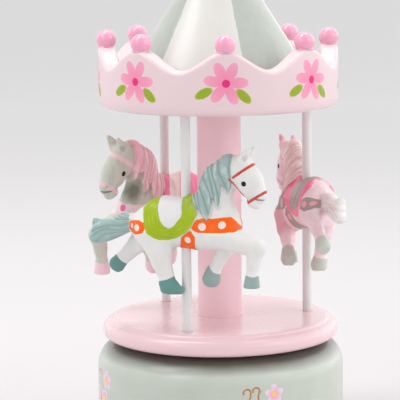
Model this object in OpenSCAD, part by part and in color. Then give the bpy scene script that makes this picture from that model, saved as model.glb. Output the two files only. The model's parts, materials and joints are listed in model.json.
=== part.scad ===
// Carousel music box: a turned wooden base that holds an 18-note movement, and a
// carousel of three horses that turns on the movement's drive shaft.
// Frame: origin on the resting face at the centre of the base, +Z up, -Y is the front.

/* [Base] */
// Outer radius of the turned base
base_r = 52.9; // [52.5:0.1:56]
// Height of the base's top face above the surface it stands on
base_top = 44; // [44:0.5:60]
// Radius of the base's rounded shoulder
base_shoulder_r = 11; // [4:0.5:12]
// Thickness of the base's wooden top
base_roof_t = 8.5; // [7:0.5:12]
// Radius of the cavity that holds the movement
cavity_r = 42.3; // [42.3:0.1:43]
// Thickness of the felt disc under the base
felt_t = 1.5; // [1:0.1:3]
// Thickness of the bottom cover
cover_t = 4; // [3:0.5:5]

/* [Carousel] */
// Gap between the base and the platform above it
running_gap = 1.5; // [1.5:0.1:3]
// Thickness of the platform
platform_t = 8.4; // [8.4:0.1:12]
// Outer radius of the platform
platform_r = 50.4; // [46:0.1:52]
// Free height between the platform and the canopy
storey_h = 90.2; // [84:0.1:100]
// Radius of the centre column
column_r = 9.4; // [8:0.1:14]
// Radius of a horse's pole
pole_r = 2; // [1.5:0.1:2.4]
// Radius of the circle that the poles stand on
pole_ring_r = 38.2; // [36:0.1:40]
// Angle of the first pole from the front, anticlockwise from above
first_pole_angle = -21; // [-60:1:60]

/* [Canopy] */
// Outer radius of the crown-shaped ring
crown_r = 50.8; // [48:0.1:52]
// Wall thickness of the crown-shaped ring
crown_wall = 7.4; // [6:0.1:8.5]
// Height of the ring from its lower edge to the bottom of a wave
crown_valley_h = 18.2; // [14:0.1:24]
// Height of one wave from its bottom to its peak
crown_wave_h = 8; // [4:0.1:12]
// Number of waves, each with a ball on its peak
crown_waves = 8; // [6:1:10]
// Angle of the first peak from the front
first_peak_angle = 3.5; // [-20:0.5:20]
// Radius of a ball on the crown
ball_r = 4.2; // [3:0.1:5]
// Thickness of the ceiling disc
ceiling_t = 5; // [4:0.5:8]
// Height of the roof cone
roof_h = 64.5; // [45:0.1:75]
// Radius of the ball on the roof's tip
finial_r = 5.4; // [4:0.1:7]

/* [Movement] */
// Radius of the drive shaft
shaft_r = 2; // [1.6:0.1:2.2]
// Radius of the shaft's neck, which runs in the bush and carries the hub
neck_r = 1.05; // [0.9:0.05:1.4]
// Teeth on the drive gear
drive_teeth = 44; // [44:11:44]
// Teeth on the cylinder's pinion
pinion_teeth = 11; // [11:1:11]
// Module of the drive gear and its pinion
drive_module = 0.5; // [0.5:0.1:0.5]
// Teeth on the cylinder's end wheel
end_wheel_teeth = 40; // [40:1:40]
// Teeth on the governor's pinion
governor_pinion_teeth = 8; // [8:1:8]
// Teeth on the governor's worm wheel
worm_wheel_teeth = 30; // [30:1:30]
// Module of the end wheel, the governor's pinion and the worm wheel
train_module = 0.4; // [0.4:0.1:0.4]
// Radius of the pinned cylinder
cylinder_r = 6.5; // [6:0.1:6.6]
// Number of notes on the comb
notes = 18; // [12:1:18]

/* [Hidden] */

fine = 96;
glue_gap = 0.05;
running_fit = 0.06;
eps = 0.01;

sage = [0.78, 0.82, 0.76];
blush = [0.95, 0.80, 0.82];
cream = [0.93, 0.93, 0.90];
bubblegum = [0.96, 0.62, 0.74];
steel = [0.72, 0.73, 0.75];
brass = [0.80, 0.66, 0.35];
zinc = [0.62, 0.63, 0.64];
wood = [0.80, 0.66, 0.47];

// ---- heights, from the bottom up ----
cover_top = felt_t + cover_t;
cavity_top = base_top - base_roof_t;
platform_bottom = base_top + running_gap;
platform_top = platform_bottom + platform_t;
canopy_bottom = platform_top + storey_h;
ceiling_bottom = canopy_bottom + 1;
ceiling_top = ceiling_bottom + ceiling_t;
crown_inner_r = crown_r - crown_wall;
crown_peak = canopy_bottom + crown_valley_h + crown_wave_h;
ball_centre_z = crown_peak + 2.4;
ball_ring_r = crown_r - crown_wall / 2;
roof_top = ceiling_top + roof_h;
roof_tip_r = 2.2;

// ---- the bottom cover and its screws ----
rebate_r = 48;
cover_screw_ring_r = 45.2;
cover_screw_r = 1.2;
cover_screw_head_r = 2.2;
cover_screw_head_h = 1.3;
felt_r = 40;
bush_r = 4;

// ---- hub under the platform ----
hub_r = 11;
hub_t = 1.5;
hub_recess_t = 2;
hub_boss_r = 4;
hub_boss_h = 2;
hub_screw_ring_r = 7.8;
tenon_r = 6;
tenon_h = 3.8;
socket_depth = 4;
hub_bottom = platform_bottom + hub_recess_t - hub_t;
hub_top = hub_bottom + hub_t + hub_boss_h;

// ---- movement: the bedplate hangs from the cavity's ceiling ----
bed_t = 2;
bed_bottom = cavity_top - bed_t;
bed_x = [-15, 35.5];
bed_y = [-23.4, 20.5];
axle_z = bed_bottom - 9;
pinion_x = [10.2, 11.8];
drum_x = [14.3, 29.7];
end_wheel_x = [30.2, 31.2];
worm_wheel_x = [32.1, 32.9];
inner_plate_x = [12.6, 13.6];
outer_plate_x = [33.6, 34.6];
drive_pitch_r = drive_teeth * drive_module / 2;
pinion_pitch_r = pinion_teeth * drive_module / 2;
end_wheel_pitch_r = end_wheel_teeth * train_module / 2;
governor_pinion_pitch_r = governor_pinion_teeth * train_module / 2;
worm_wheel_pitch_r = worm_wheel_teeth * train_module / 2;
worm_pitch_r = 1.6;
worm_length = 5;
governor_y = -(end_wheel_pitch_r + governor_pinion_pitch_r);
worm_x = (worm_wheel_x[0] + worm_wheel_x[1]) / 2;
worm_y = governor_y - worm_wheel_pitch_r - worm_pitch_r;
worm_lead = PI * train_module;
housing_r = 13.5;
housing_wall = 0.9;
housing_bottom = 10;
housing_top = 20.5;
post_ring_r = 17;
post_r = 2.2;
comb_z = axle_z;
comb_t = 1;
pin_h = 0.45;
pin_r = 0.2;
comb_tip_y = cylinder_r + pin_h + 0.1;
comb_back_y = 19.5;
axle_r = 1;
arbor_r = 0.7;
brake_r = 4;

// ---- gear teeth: stub involutes with room to run ----
pressure = 20;
addendum = 0.8;
dedendum = 1.15;
tooth_share = 0.42;
contrate_tooth_share = 0.36;
contrate_overhang = 0.1;
flank_steps = 4;

// ---- horses, in a frame at the pole with +X forward and Z from the platform's top ----
// Each horse is set a little differently on its pole: turned, leaning, nose down, lifted, and of another size
horse_yaw = [0, 9, 6];
horse_lean = [0, 6, -8];
horse_tilt = [0, 10.5, 5];
horse_lift = [0, 1.6, -0.5];
horse_scale = [1, 1, 1.1];
horse_grip_h = 45;
body_width = 0.72;

// =====================================================================
// Helpers
// =====================================================================

// A ring or disc about Z between two heights
module ring(outer, inner, low, high) {
    difference() {
        translate([0, 0, low]) cylinder(r = outer, h = high - low, $fn = fine);
        if (inner > 0)
            translate([0, 0, low - 1]) cylinder(r = inner, h = high - low + 2, $fn = fine);
    }
}

// A box between two values on each axis
module span(x, y, z) {
    translate([x[0], y[0], z[0]]) cube([x[1] - x[0], y[1] - y[0], z[1] - z[0]]);
}

// A rod along Z, or along X, between two places
module rod_z(x, y, r, z) {
    translate([x, y, z[0]]) cylinder(r = r, h = z[1] - z[0], $fn = fine);
}
module rod_x(y, z, r, x) {
    translate([x[0], y, z]) rotate([0, 90, 0]) cylinder(r = r, h = x[1] - x[0], $fn = fine);
}

// Copies of its child at count equal angles about Z
module around(count, first = 0) {
    for (i = [0:count - 1]) rotate([0, 0, first + i * 360 / count]) children();
}

// A quarter disc whose corner is at p; quadrant 0 points outward and up, 3 outward and down
module quarter(p, r, quadrant) {
    translate(p) rotate([0, 0, quadrant * 90]) intersection() {
        circle(r = r, $fn = fine);
        square([r, r]);
    }
}

// A wood screw with a pan head under z and its shank going up
module screw_up(x, y, z, head_r, head_h, shank_r, length) {
    rod_z(x, y, head_r, [z - head_h, z]);
    rod_z(x, y, shank_r, [z - eps, z + length]);
}

// Half the angle of a gear tooth at radius r
function involute(r, base) = r <= base ? 0 : sqrt(pow(r / base, 2) - 1) * 180 / PI - acos(base / r);
function half_tooth(r, pitch_r, teeth) =
    let (base = pitch_r * cos(pressure))
    tooth_share * 180 / teeth + involute(pitch_r, base) - involute(r, base);
function polar(r, a) = [r * cos(a), r * sin(a)];
function gear_outline(teeth, module_mm) =
    let (
        pitch_r = teeth * module_mm / 2,
        root = pitch_r - dedendum * module_mm,
        tip = pitch_r + addendum * module_mm,
        low = max(root, pitch_r * cos(pressure)),
        radii = [root, for (i = [0:flank_steps]) low + (tip - low) * i / flank_steps]
    )
    [for (t = [0:teeth - 1], side = [-1, 1], i = [0:len(radii) - 1])
        let (r = side < 0 ? radii[i] : radii[len(radii) - 1 - i])
        polar(r, t * 360 / teeth + side * half_tooth(r, pitch_r, teeth))];

// A spur gear on an axle along X; turn is the angle of its first tooth from +Y
module gear_x(teeth, module_mm, x, y, z, bore, turn) {
    translate([x[0], y, z]) rotate([90, 0, 90]) rotate([0, 0, turn])
        difference() {
            linear_extrude(x[1] - x[0]) polygon(gear_outline(teeth, module_mm));
            translate([0, 0, -1]) cylinder(r = bore, h = x[1] - x[0] + 2, $fn = fine);
        }
}

// =====================================================================
// Base
// =====================================================================

module base_shell() {
    heel_r = 2;
    shoulder_in = base_r - base_shoulder_r;
    shoulder_z = base_top - base_shoulder_r;
    color(sage) difference() {
        rotate_extrude($fn = fine) union() {
            translate([0, felt_t + heel_r]) square([base_r, shoulder_z - felt_t - heel_r]);
            translate([0, felt_t]) square([base_r - heel_r, heel_r]);
            translate([0, shoulder_z]) square([shoulder_in, base_shoulder_r]);
            quarter([base_r - heel_r, felt_t + heel_r], heel_r, 3);
            quarter([shoulder_in, shoulder_z], base_shoulder_r, 0);
        }
        translate([0, 0, felt_t - 1]) cylinder(r = cavity_r, h = cavity_top - felt_t + 1, $fn = fine);
        translate([0, 0, felt_t - 1]) cylinder(r = rebate_r, h = cover_t + 1, $fn = fine);
        translate([0, 0, cavity_top - 1]) cylinder(r = bush_r, h = base_roof_t + 2, $fn = fine);
        around(4, 45)
            rod_z(cover_screw_ring_r, 0, cover_screw_r + glue_gap, [cover_top - 1, cover_top + 8]);
        for (p = bedplate_screw_places)
            rod_z(p[0], p[1], bedplate_screw_r + glue_gap, [cavity_top - 1, cavity_top + 5]);
    }
}

module bottom_cover() {
    color(wood) difference() {
        ring(rebate_r - 0.2, 0, felt_t, cover_top);
        around(4, 45) {
            rod_z(cover_screw_ring_r, 0, cover_screw_r + 0.2, [0, cover_top + 1]);
            rod_z(cover_screw_ring_r, 0, cover_screw_head_r + 0.1, [0, felt_t + cover_screw_head_h]);
        }
    }
}

module cover_screws() {
    color(steel) around(4, 45)
        screw_up(cover_screw_ring_r, 0, felt_t + cover_screw_head_h, cover_screw_head_r,
                 cover_screw_head_h - 0.1, cover_screw_r, 9.5);
}

module base_felt() {
    color([0.45, 0.45, 0.44]) ring(felt_r, 0, 0, felt_t);
}

module shaft_bush() {
    color(brass) difference() {
        union() {
            rod_z(0, 0, bush_r - glue_gap, [cavity_top, base_top]);
            rod_z(0, 0, 7, [base_top, base_top + 0.9]);
        }
        rod_z(0, 0, neck_r + running_fit, [cavity_top - 1, base_top + 2]);
    }
}

// =====================================================================
// Movement: fixed pieces
// =====================================================================

bedplate_screw_r = 1.2;
bedplate_screw_places = [[-11, -19], [-11, 16.5], [32.4, 12.5], [12, -20]];

module bedplate() {
    corner = 4;
    color(zinc) difference() {
        translate([0, 0, bed_bottom]) linear_extrude(bed_t) polygon([
            [bed_x[0] + corner, bed_y[0]], [bed_x[1] - corner, bed_y[0]],
            [bed_x[1], bed_y[0] + corner], [bed_x[1], bed_y[1] - corner],
            [bed_x[1] - corner, bed_y[1]], [bed_x[0] + corner, bed_y[1]],
            [bed_x[0], bed_y[1] - corner], [bed_x[0], bed_y[0] + corner]
        ]);
        rod_z(0, 0, 5, [bed_bottom - 1, cavity_top + 1]);
        rod_z(worm_x, worm_y, 0.65, [bed_bottom - 1, cavity_top + 1]);
        for (p = bedplate_screw_places)
            rod_z(p[0], p[1], bedplate_screw_r + 0.2, [bed_bottom - 1, cavity_top + 1]);
    }
}

module bedplate_screws() {
    color(steel) for (p = bedplate_screw_places)
        screw_up(p[0], p[1], bed_bottom, 2.3, 1.4, bedplate_screw_r, 6.5);
}

module spring_housing() {
    ear_t = 2;
    color(brass) difference() {
        union() {
            ring(housing_r, 0, housing_bottom, housing_top - 0.9);
            for (side = [-1, 1]) {
                span([-3, 3], side > 0 ? [12.9, post_ring_r] : [-post_ring_r, -12.9],
                     [housing_top - ear_t, housing_top]);
                rod_z(0, side * post_ring_r, 3, [housing_top - ear_t, housing_top]);
            }
        }
        ring(housing_r - housing_wall, 0, housing_bottom + 1.2, housing_top + 1);
        rod_z(0, 0, shaft_r + running_fit, [housing_bottom - 1, housing_bottom + 2]);
        for (side = [-1, 1]) rod_z(0, side * post_ring_r, 1.2, [housing_bottom, housing_top + 1]);
    }
}

module housing_lid() {
    color(brass) ring(housing_r - housing_wall - glue_gap, shaft_r + 0.6, housing_top - 0.9, housing_top);
}

module mainspring() {
    turns = 7;
    steps = 24;
    inner = 4;
    outer = 11.9;
    strip = 0.35;
    pitch = (outer - inner) / turns;
    function spiral(offset) = [for (i = [0:turns * steps]) polar(inner + offset + pitch * i / steps, i * 360 / steps)];
    outside = spiral(strip);
    color([0.45, 0.50, 0.58]) translate([0, 0, housing_bottom + 2.2]) linear_extrude(6)
        polygon(concat(spiral(0), [for (i = [len(outside) - 1:-1:0]) outside[i]]));
}

module housing_posts() {
    color(zinc) for (side = [-1, 1]) difference() {
        rod_z(0, side * post_ring_r, post_r, [housing_top, bed_bottom]);
        rod_z(0, side * post_ring_r, 1 + glue_gap, [housing_top - 1, housing_top + 8]);
    }
}

module housing_screws() {
    color(steel) for (side = [-1, 1])
        screw_up(0, side * post_ring_r, housing_top - 2, 1.9, 1.3, 1, 9);
}

comb_screw_x = [18.5, 25.5];
comb_screw_y = 16.8;

module comb() {
    pitch = (drum_x[1] - drum_x[0] - 1) / notes;
    first = drum_x[0] + 0.5;
    slot = 0.22;
    color(steel) difference() {
        span([first, first + pitch * notes], [comb_tip_y, comb_back_y], [comb_z - comb_t / 2, comb_z + comb_t / 2]);
        for (i = [1:notes - 1])
            span([first + i * pitch - slot / 2, first + i * pitch + slot / 2],
                 [comb_tip_y - 1, 13.6 - 2.6 * i / notes], [comb_z - 1, comb_z + 1]);
        for (x = comb_screw_x) rod_z(x, comb_screw_y, 1.2, [comb_z - 1, comb_z + 1]);
    }
}

module comb_block() {
    color(zinc) difference() {
        span([drum_x[0], drum_x[1]], [14.2, comb_back_y], [comb_z + comb_t / 2, bed_bottom]);
        for (x = comb_screw_x) rod_z(x, comb_screw_y, 1 + glue_gap, [comb_z, comb_z + 6]);
    }
}

module comb_screws() {
    color(brass) for (x = comb_screw_x)
        screw_up(x, comb_screw_y, comb_z - comb_t / 2, 2, 1.2, 1, 5.5);
}

module inner_bearing_plate() {
    color(zinc) difference() {
        span(inner_plate_x, [-3.2, 3.2], [axle_z - 2.4, bed_bottom]);
        rod_x(0, axle_z, axle_r + 0.05, [inner_plate_x[0] - 1, inner_plate_x[1] + 1]);
    }
}

module outer_bearing_plate() {
    color(zinc) difference() {
        span(outer_plate_x, [governor_y - 2.6, 4], [axle_z - 2.4, bed_bottom]);
        rod_x(0, axle_z, axle_r + 0.05, [outer_plate_x[0] - 1, outer_plate_x[1] + 1]);
        rod_x(governor_y, axle_z, arbor_r + 0.05, [outer_plate_x[0] - 1, outer_plate_x[1] + 1]);
    }
}

module governor_frame() {
    tab_x = [28.3, 29.3];
    post_y = [-23, -22];
    arm_z = [9.8, 11.2];
    color([0.25, 0.26, 0.28]) difference() {
        union() {
            span([30.5, 34.5], post_y, [arm_z[0], bed_bottom]);
            span([30.5, 34.5], [post_y[0], worm_y + 2.5], arm_z);
            span([tab_x[0], 30.6], [post_y[0], governor_y + 1.7], [bed_bottom - 1.2, bed_bottom]);
            span(tab_x, [governor_y - 2.6, governor_y + 1.7], [axle_z - 2, bed_bottom]);
        }
        rod_z(worm_x, worm_y, 0.65, [arm_z[0] - 1, arm_z[1] + 1]);
        rod_x(governor_y, axle_z, arbor_r + 0.05, [tab_x[0] - 1, tab_x[1] + 1]);
    }
}

// =====================================================================
// Carousel: drive pieces
// =====================================================================

module drive_shaft() {
    collar_bottom = base_top + 1;
    collar_r = 3.4;
    color(steel) union() {
        rod_z(0, 0, shaft_r, [housing_bottom + 0.1, cavity_top - 0.1]);
        rod_z(0, 0, neck_r, [cavity_top - 1, hub_top]);
        rod_z(0, 0, collar_r, [housing_bottom + 1.4, housing_top - 1.1]);
        rod_z(0, 0, collar_r, [collar_bottom, hub_bottom]);
    }
}

drive_pitch_z = axle_z + pinion_pitch_r;
drive_root_z = drive_pitch_z + dedendum * drive_module;
drive_gear_top = drive_root_z + 1.6;

// One tooth of the drive gear, which points down at the pinion
module drive_tooth() {
    pitch_half = contrate_tooth_share * PI * drive_module / 2;
    tip_half = pitch_half - addendum * drive_module * tan(pressure);
    root_half = pitch_half + dedendum * drive_module * tan(pressure);
    translate([pinion_x[0] - contrate_overhang, 0, drive_pitch_z]) rotate([90, 0, 90])
        linear_extrude(pinion_x[1] - pinion_x[0] + 2 * contrate_overhang) polygon([
            [-root_half, dedendum * drive_module + 0.2], [-root_half, dedendum * drive_module],
            [-tip_half, -addendum * drive_module], [tip_half, -addendum * drive_module],
            [root_half, dedendum * drive_module], [root_half, dedendum * drive_module + 0.2]
        ]);
}

module drive_gear() {
    color(brass) union() {
        ring(pinion_x[1] + 0.3, shaft_r + glue_gap, drive_root_z, drive_gear_top);
        around(drive_teeth) drive_tooth();
    }
}

ratchet_z = [drive_gear_top + 0.1, drive_gear_top + 1.1];

module ratchet_wheel() {
    teeth = 12;
    color(steel) difference() {
        translate([0, 0, ratchet_z[0]]) linear_extrude(ratchet_z[1] - ratchet_z[0])
            polygon([for (i = [0:teeth - 1], tip = [0, 1])
                polar(tip ? 5.2 : 4, (i + (tip ? 0.9 : 0)) * 360 / teeth)]);
        rod_z(0, 0, shaft_r + glue_gap, [ratchet_z[0] - 1, ratchet_z[1] + 1]);
    }
}

click_pivot = [8.2, 4.5];

module click() {
    color(steel) difference() {
        translate([0, 0, ratchet_z[0]]) linear_extrude(ratchet_z[1] - ratchet_z[0]) union() {
            translate(click_pivot) circle(r = 1.6, $fn = 32);
            polygon([[8.9, 3], [9.6, 5.2], [4.6, 4.9], [3.9, 4.1], [6.2, 3.9]]);
        }
        rod_z(click_pivot[0], click_pivot[1], 0.7 + glue_gap, [ratchet_z[0] - 1, ratchet_z[1] + 1]);
    }
}

module click_rivet() {
    color(brass) union() {
        rod_z(click_pivot[0], click_pivot[1], 0.7, [drive_gear_top, ratchet_z[1] + 0.1]);
        rod_z(click_pivot[0], click_pivot[1], 1.1, [ratchet_z[1] + 0.05, ratchet_z[1] + 0.45]);
    }
}

module hub_plate() {
    color(steel) difference() {
        union() {
            ring(hub_r, 0, hub_bottom, hub_bottom + hub_t);
            ring(hub_boss_r, 0, hub_bottom + hub_t - eps, hub_top);
        }
        rod_z(0, 0, neck_r + glue_gap, [hub_bottom - 1, hub_top + 1]);
        around(3, 90) rod_z(hub_screw_ring_r, 0, 1.15, [hub_bottom - 1, hub_top + 1]);
    }
}

module hub_screws() {
    color(steel) around(3, 90) screw_up(hub_screw_ring_r, 0, hub_bottom, 1.9, 0.45, 1.05, 6);
}

// =====================================================================
// Carousel: wooden pieces
// =====================================================================

// Runs its child at each pole: index 0 white horse, 1 pink horse, 2 grey horse
module at_pole(index) {
    angle = first_pole_angle + index * 120;
    rotate([0, 0, angle]) translate([0, -pole_ring_r, 0]) children();
}

module platform() {
    nose_r = 3.8;
    heel_r = 2.8;
    bead_r = 1.8;
    nose_in = platform_r - nose_r;
    bead_in = nose_in - 1;
    color(blush) difference() {
        rotate_extrude($fn = fine) union() {
            translate([0, platform_bottom]) square([bead_in, platform_t]);
            translate([0, platform_bottom]) square([nose_in, platform_t - bead_r]);
            translate([0, platform_bottom]) square([platform_r - heel_r, heel_r]);
            quarter([bead_in, platform_top - bead_r], bead_r, 0);
            quarter([nose_in, platform_bottom + heel_r], nose_r, 0);
            quarter([platform_r - heel_r, platform_bottom + heel_r], heel_r, 3);
        }
        rod_z(0, 0, hub_r + 0.3, [platform_bottom - 1, platform_bottom + hub_recess_t]);
        rod_z(0, 0, hub_boss_r + 0.2, [platform_bottom, hub_top + 0.1]);
        rod_z(0, 0, tenon_r + glue_gap, [platform_top - tenon_h - 0.1, platform_top + 1]);
        around(3, 90) rod_z(hub_screw_ring_r, 0, 1.1, [platform_bottom, hub_bottom + 6.2]);
        for (i = [0:2]) at_pole(i) rod_z(0, 0, pole_r + glue_gap, [platform_top - socket_depth, platform_top + 1]);
    }
}

module column() {
    color(blush) union() {
        rod_z(0, 0, column_r, [platform_top, ceiling_bottom]);
        rod_z(0, 0, tenon_r, [platform_top - tenon_h, platform_top + eps]);
        rod_z(0, 0, tenon_r, [ceiling_bottom - eps, ceiling_top - 0.1]);
    }
}

module pole(index) {
    color(cream) at_pole(index)
        rod_z(0, 0, pole_r, [platform_top - socket_depth, ceiling_bottom + socket_depth - 1]);
}

module ceiling_disc() {
    color(blush) difference() {
        ring(crown_inner_r - glue_gap, tenon_r + glue_gap, ceiling_bottom, ceiling_top);
        for (i = [0:2]) at_pole(i)
            rod_z(0, 0, pole_r + glue_gap, [ceiling_bottom - 1, ceiling_bottom + socket_depth - 0.9]);
    }
}

// The wall's cross-section at one angle, from the lower inner edge round to the upper inner edge
function crown_top(angle) =
    canopy_bottom + crown_valley_h + crown_wave_h * (1 + cos(crown_waves * angle)) / 2;
function corner_arc(x, z, r, from, to) =
    [for (a = [from:(to - from) / 3:to + 0.01 * sign(to - from)]) [x + r * cos(a), z + r * sin(a)]];
function crown_section(angle) =
    let (top = crown_top(angle), low = 4, rim = 1.8, bead = 1)
    concat(
        [[crown_inner_r, canopy_bottom]],
        corner_arc(crown_r - low, canopy_bottom + low, low, -90, 0),
        corner_arc(crown_r - rim, top - rim, rim, 0, 90),
        corner_arc(crown_inner_r + bead, top - bead, bead, 90, 180)
    );

module crown_ring() {
    steps = crown_waves * 14;
    sections = [for (i = [0:steps - 1]) let (a = i * 360 / steps)
        [for (p = crown_section(a)) [p[0] * sin(a), -p[0] * cos(a), p[1]]]];
    n = len(sections[0]);
    faces = [for (i = [0:steps - 1], j = [0:n - 1])
        let (i2 = (i + 1) % steps, j2 = (j + 1) % n)
        [i * n + j, i * n + j2, i2 * n + j2, i2 * n + j]];
    points = [for (s = sections) each s];
    color(blush) rotate([0, 0, first_peak_angle]) polyhedron(points = points, faces = faces, convexity = 4);
}

// The roof is one turned cone, painted in six panels
module roof_cone() {
    color(sage) difference() {
        translate([0, 0, ceiling_top])
            cylinder(r1 = crown_inner_r - 0.3, r2 = roof_tip_r, h = roof_h, $fn = fine);
        rod_z(0, 0, 1.5 + glue_gap, [roof_top - 8, roof_top + 1]);
        rod_z(0, 0, tenon_r + 0.3, [ceiling_top - 1, ceiling_top + 0.5]);
    }
}

module crown_balls() {
    color(bubblegum) around(crown_waves, first_peak_angle) translate([0, -ball_ring_r, ball_centre_z])
        intersection() {
            sphere(r = ball_r, $fn = fine);
            translate([0, 0, ball_r + crown_peak - ball_centre_z])
                cube([2 * ball_r + 1, 2 * ball_r + 1, 2 * ball_r], center = true);
        }
}

module finial_ball() {
    seat = 3.2;
    color(bubblegum) difference() {
        translate([0, 0, roof_top + finial_r - 0.5]) sphere(r = finial_r, $fn = fine);
        translate([0, 0, roof_top - 1]) cylinder(r = seat, h = 1, $fn = fine);
        rod_z(0, 0, 1.5 + glue_gap, [roof_top - 1, roof_top + 5]);
    }
}

module finial_dowel() {
    color(wood) rod_z(0, 0, 1.5, [roof_top - 7.8, roof_top + 4.8]);
}

// =====================================================================
// Horses: one carved shape, painted three ways
// =====================================================================

// A rounded lump; p is [x, y, z, radius]
module lump(p, width = 1) {
    translate([p[0], p[1], p[2]]) scale([1, width, 1]) sphere(r = p[3], $fn = 14);
}
module limb(a, b, width = 1) {
    hull() {
        lump(a, width);
        lump(b, width);
    }
}

module horse_shape() {
    rump = [-14, 0, 44.5, 10.3];
    barrel = [0, 0, 45.5, 9.9];
    chest = [13.5, 0, 45, 10.6];
    crest = [13, 0, 57.5, 8.2];
    poll = [20.5, 0, 68, 6.3];
    skull = [25.3, 0, 66.2, 6.1];
    muzzle = [31.6, 0, 57.6, 4.2];
    limb(rump, barrel, body_width);
    limb(barrel, chest, body_width);
    limb(chest, crest, body_width - 0.05);
    limb(crest, poll, 0.75);
    limb(poll, skull, 0.8);
    limb(skull, muzzle, 0.8);
    for (side = [-1, 1]) limb([24, 3.2 * side, 71.5, 2], [27.4, 3.6 * side, 76.6, 0.8]);
    // saddle
    hull() {
        lump([-14, 0, 49, 7.4], 0.95);
        lump([2, 0, 50.6, 7.6], 0.95);
    }
    // raised foreleg and bent foreleg
    limb([14, -3.6, 41, 5.6], [31, -4, 37.6, 4.4], 0.8);
    limb([31, -4, 37.6, 4.2], [30.4, -4, 22.8, 3], 0.9);
    limb([15, 3.8, 40, 5], [19.4, 4, 31.5, 3.6], 0.85);
    limb([19.4, 4, 31.5, 3.6], [12.4, 4, 24, 4], 0.85);
    // hind legs: one under the body, one stretched back
    limb([-13.5, -3.6, 40, 7], [-11.2, -4.6, 29.5, 4], 0.8);
    limb([-11.2, -4.6, 29.5, 4], [-6.8, -5.6, 21.5, 3.3], 0.85);
    limb([-8, -5.6, 20, 3.4], [-2, -5.6, 18.6, 2.8], 0.9);
    limb([-15.5, 3.6, 40, 7], [-23.4, 4.2, 33, 3.9], 0.8);
    limb([-23.4, 4.2, 33, 3.9], [-28.4, 4.2, 26.6, 3.7], 0.85);
    // tail
    limb([-23, 0, 44, 4.2], [-38.5, 0, 40.6, 4.9], 0.55);
}

module horse(index, tint) {
    color(tint) at_pole(index) rotate([0, 0, horse_yaw[index]]) translate([0, 0, platform_top])
        difference() {
            translate([0, 0, horse_grip_h + horse_lift[index]])
                rotate([horse_lean[index], horse_tilt[index], 0]) scale(horse_scale[index])
                translate([0, 0, -horse_grip_h]) horse_shape();
            translate([0, 0, 12]) cylinder(r = pole_r + running_fit, h = 70, $fn = 32);
        }
}

// =====================================================================
// Movement: turning pieces
// =====================================================================

module pin_cylinder() {
    pins_per_note = 3;
    pitch = (drum_x[1] - drum_x[0] - 1) / notes;
    color(brass) union() {
        difference() {
            rod_x(0, axle_z, cylinder_r, drum_x);
            rod_x(0, axle_z, axle_r + glue_gap, [drum_x[0] - 1, drum_x[1] + 1]);
        }
        for (i = [0:notes - 1], k = [0:pins_per_note - 1])
            translate([drum_x[0] + 0.5 + (i + 0.5) * pitch, 0, axle_z])
                rotate([i * 137.5 + k * (96 + 7 * (i % 4)), 0, 0])
                translate([0, 0, cylinder_r - 0.2]) cylinder(r = pin_r, h = pin_h + 0.2, $fn = 16);
    }
}

module cylinder_shaft() {
    color(steel) rod_x(0, axle_z, axle_r, [pinion_x[0] - 0.4, outer_plate_x[1] + 0.4]);
}

module cylinder_pinion() {
    color(brass) gear_x(pinion_teeth, drive_module, pinion_x, 0, axle_z,
                        axle_r + glue_gap, 90 + 180 / pinion_teeth);
}

module end_wheel() {
    color(brass) gear_x(end_wheel_teeth, train_module, end_wheel_x, 0, axle_z, axle_r + glue_gap, 0);
}

module governor_arbor() {
    color(steel) rod_x(governor_y, axle_z, arbor_r, [28, outer_plate_x[1] + 0.4]);
}

module governor_pinion() {
    color(steel) gear_x(governor_pinion_teeth, train_module, [29.9, 31.5], governor_y, axle_z,
                        arbor_r + 0.02, 180 / governor_pinion_teeth);
}

module worm_wheel() {
    color(brass) gear_x(worm_wheel_teeth, train_module, worm_wheel_x, governor_y, axle_z,
                        arbor_r + glue_gap, 0);
}

module worm_shaft() {
    color(steel) rod_z(worm_x, worm_y, 0.6, [housing_bottom, cavity_top - 0.2]);
}

// A right-hand single-start worm: the cross-section whose twist gives the axial tooth form
module worm() {
    root = worm_pitch_r - dedendum * train_module;
    tip = worm_pitch_r + addendum * train_module;
    half_pitch = worm_lead / 2;
    pitch_half = tooth_share * worm_lead / 2;
    tip_half = pitch_half - addendum * train_module * tan(pressure);
    function tooth_radius(s) = min(tip, max(root, worm_pitch_r + (pitch_half - s) / tan(pressure)));
    samples = 24;
    outline = [for (i = [0:samples - 1]) let (a = i * 360 / samples, s = abs(a > 180 ? a - 360 : a) / 180 * half_pitch)
        polar(tooth_radius(s), a)];
    turns = worm_length / worm_lead;
    low = axle_z - worm_length / 2;
    // At the wheel's side (+Y) and the wheel's height the worm shows a gap between threads
    phase = 90 + 180 + (axle_z - low) / worm_lead * -360;
    color([0.93, 0.93, 0.88]) difference() {
        translate([worm_x, worm_y, low]) rotate([0, 0, phase])
            linear_extrude(worm_length, twist = -360 * turns, slices = 12 * turns) polygon(outline);
        rod_z(worm_x, worm_y, 0.6 + glue_gap, [low - 1, low + worm_length + 1]);
    }
}

module air_brake() {
    color([0.93, 0.93, 0.88]) difference() {
        union() {
            rod_z(worm_x, worm_y, 1.4, [12.4, 17.4]);
            translate([worm_x - brake_r, worm_y - 0.3, 12.6]) cube([2 * brake_r, 0.6, 4.6]);
        }
        rod_z(worm_x, worm_y, 0.6 + glue_gap, [12, 18]);
    }
}

// =====================================================================
// Nodes
// =====================================================================

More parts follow.
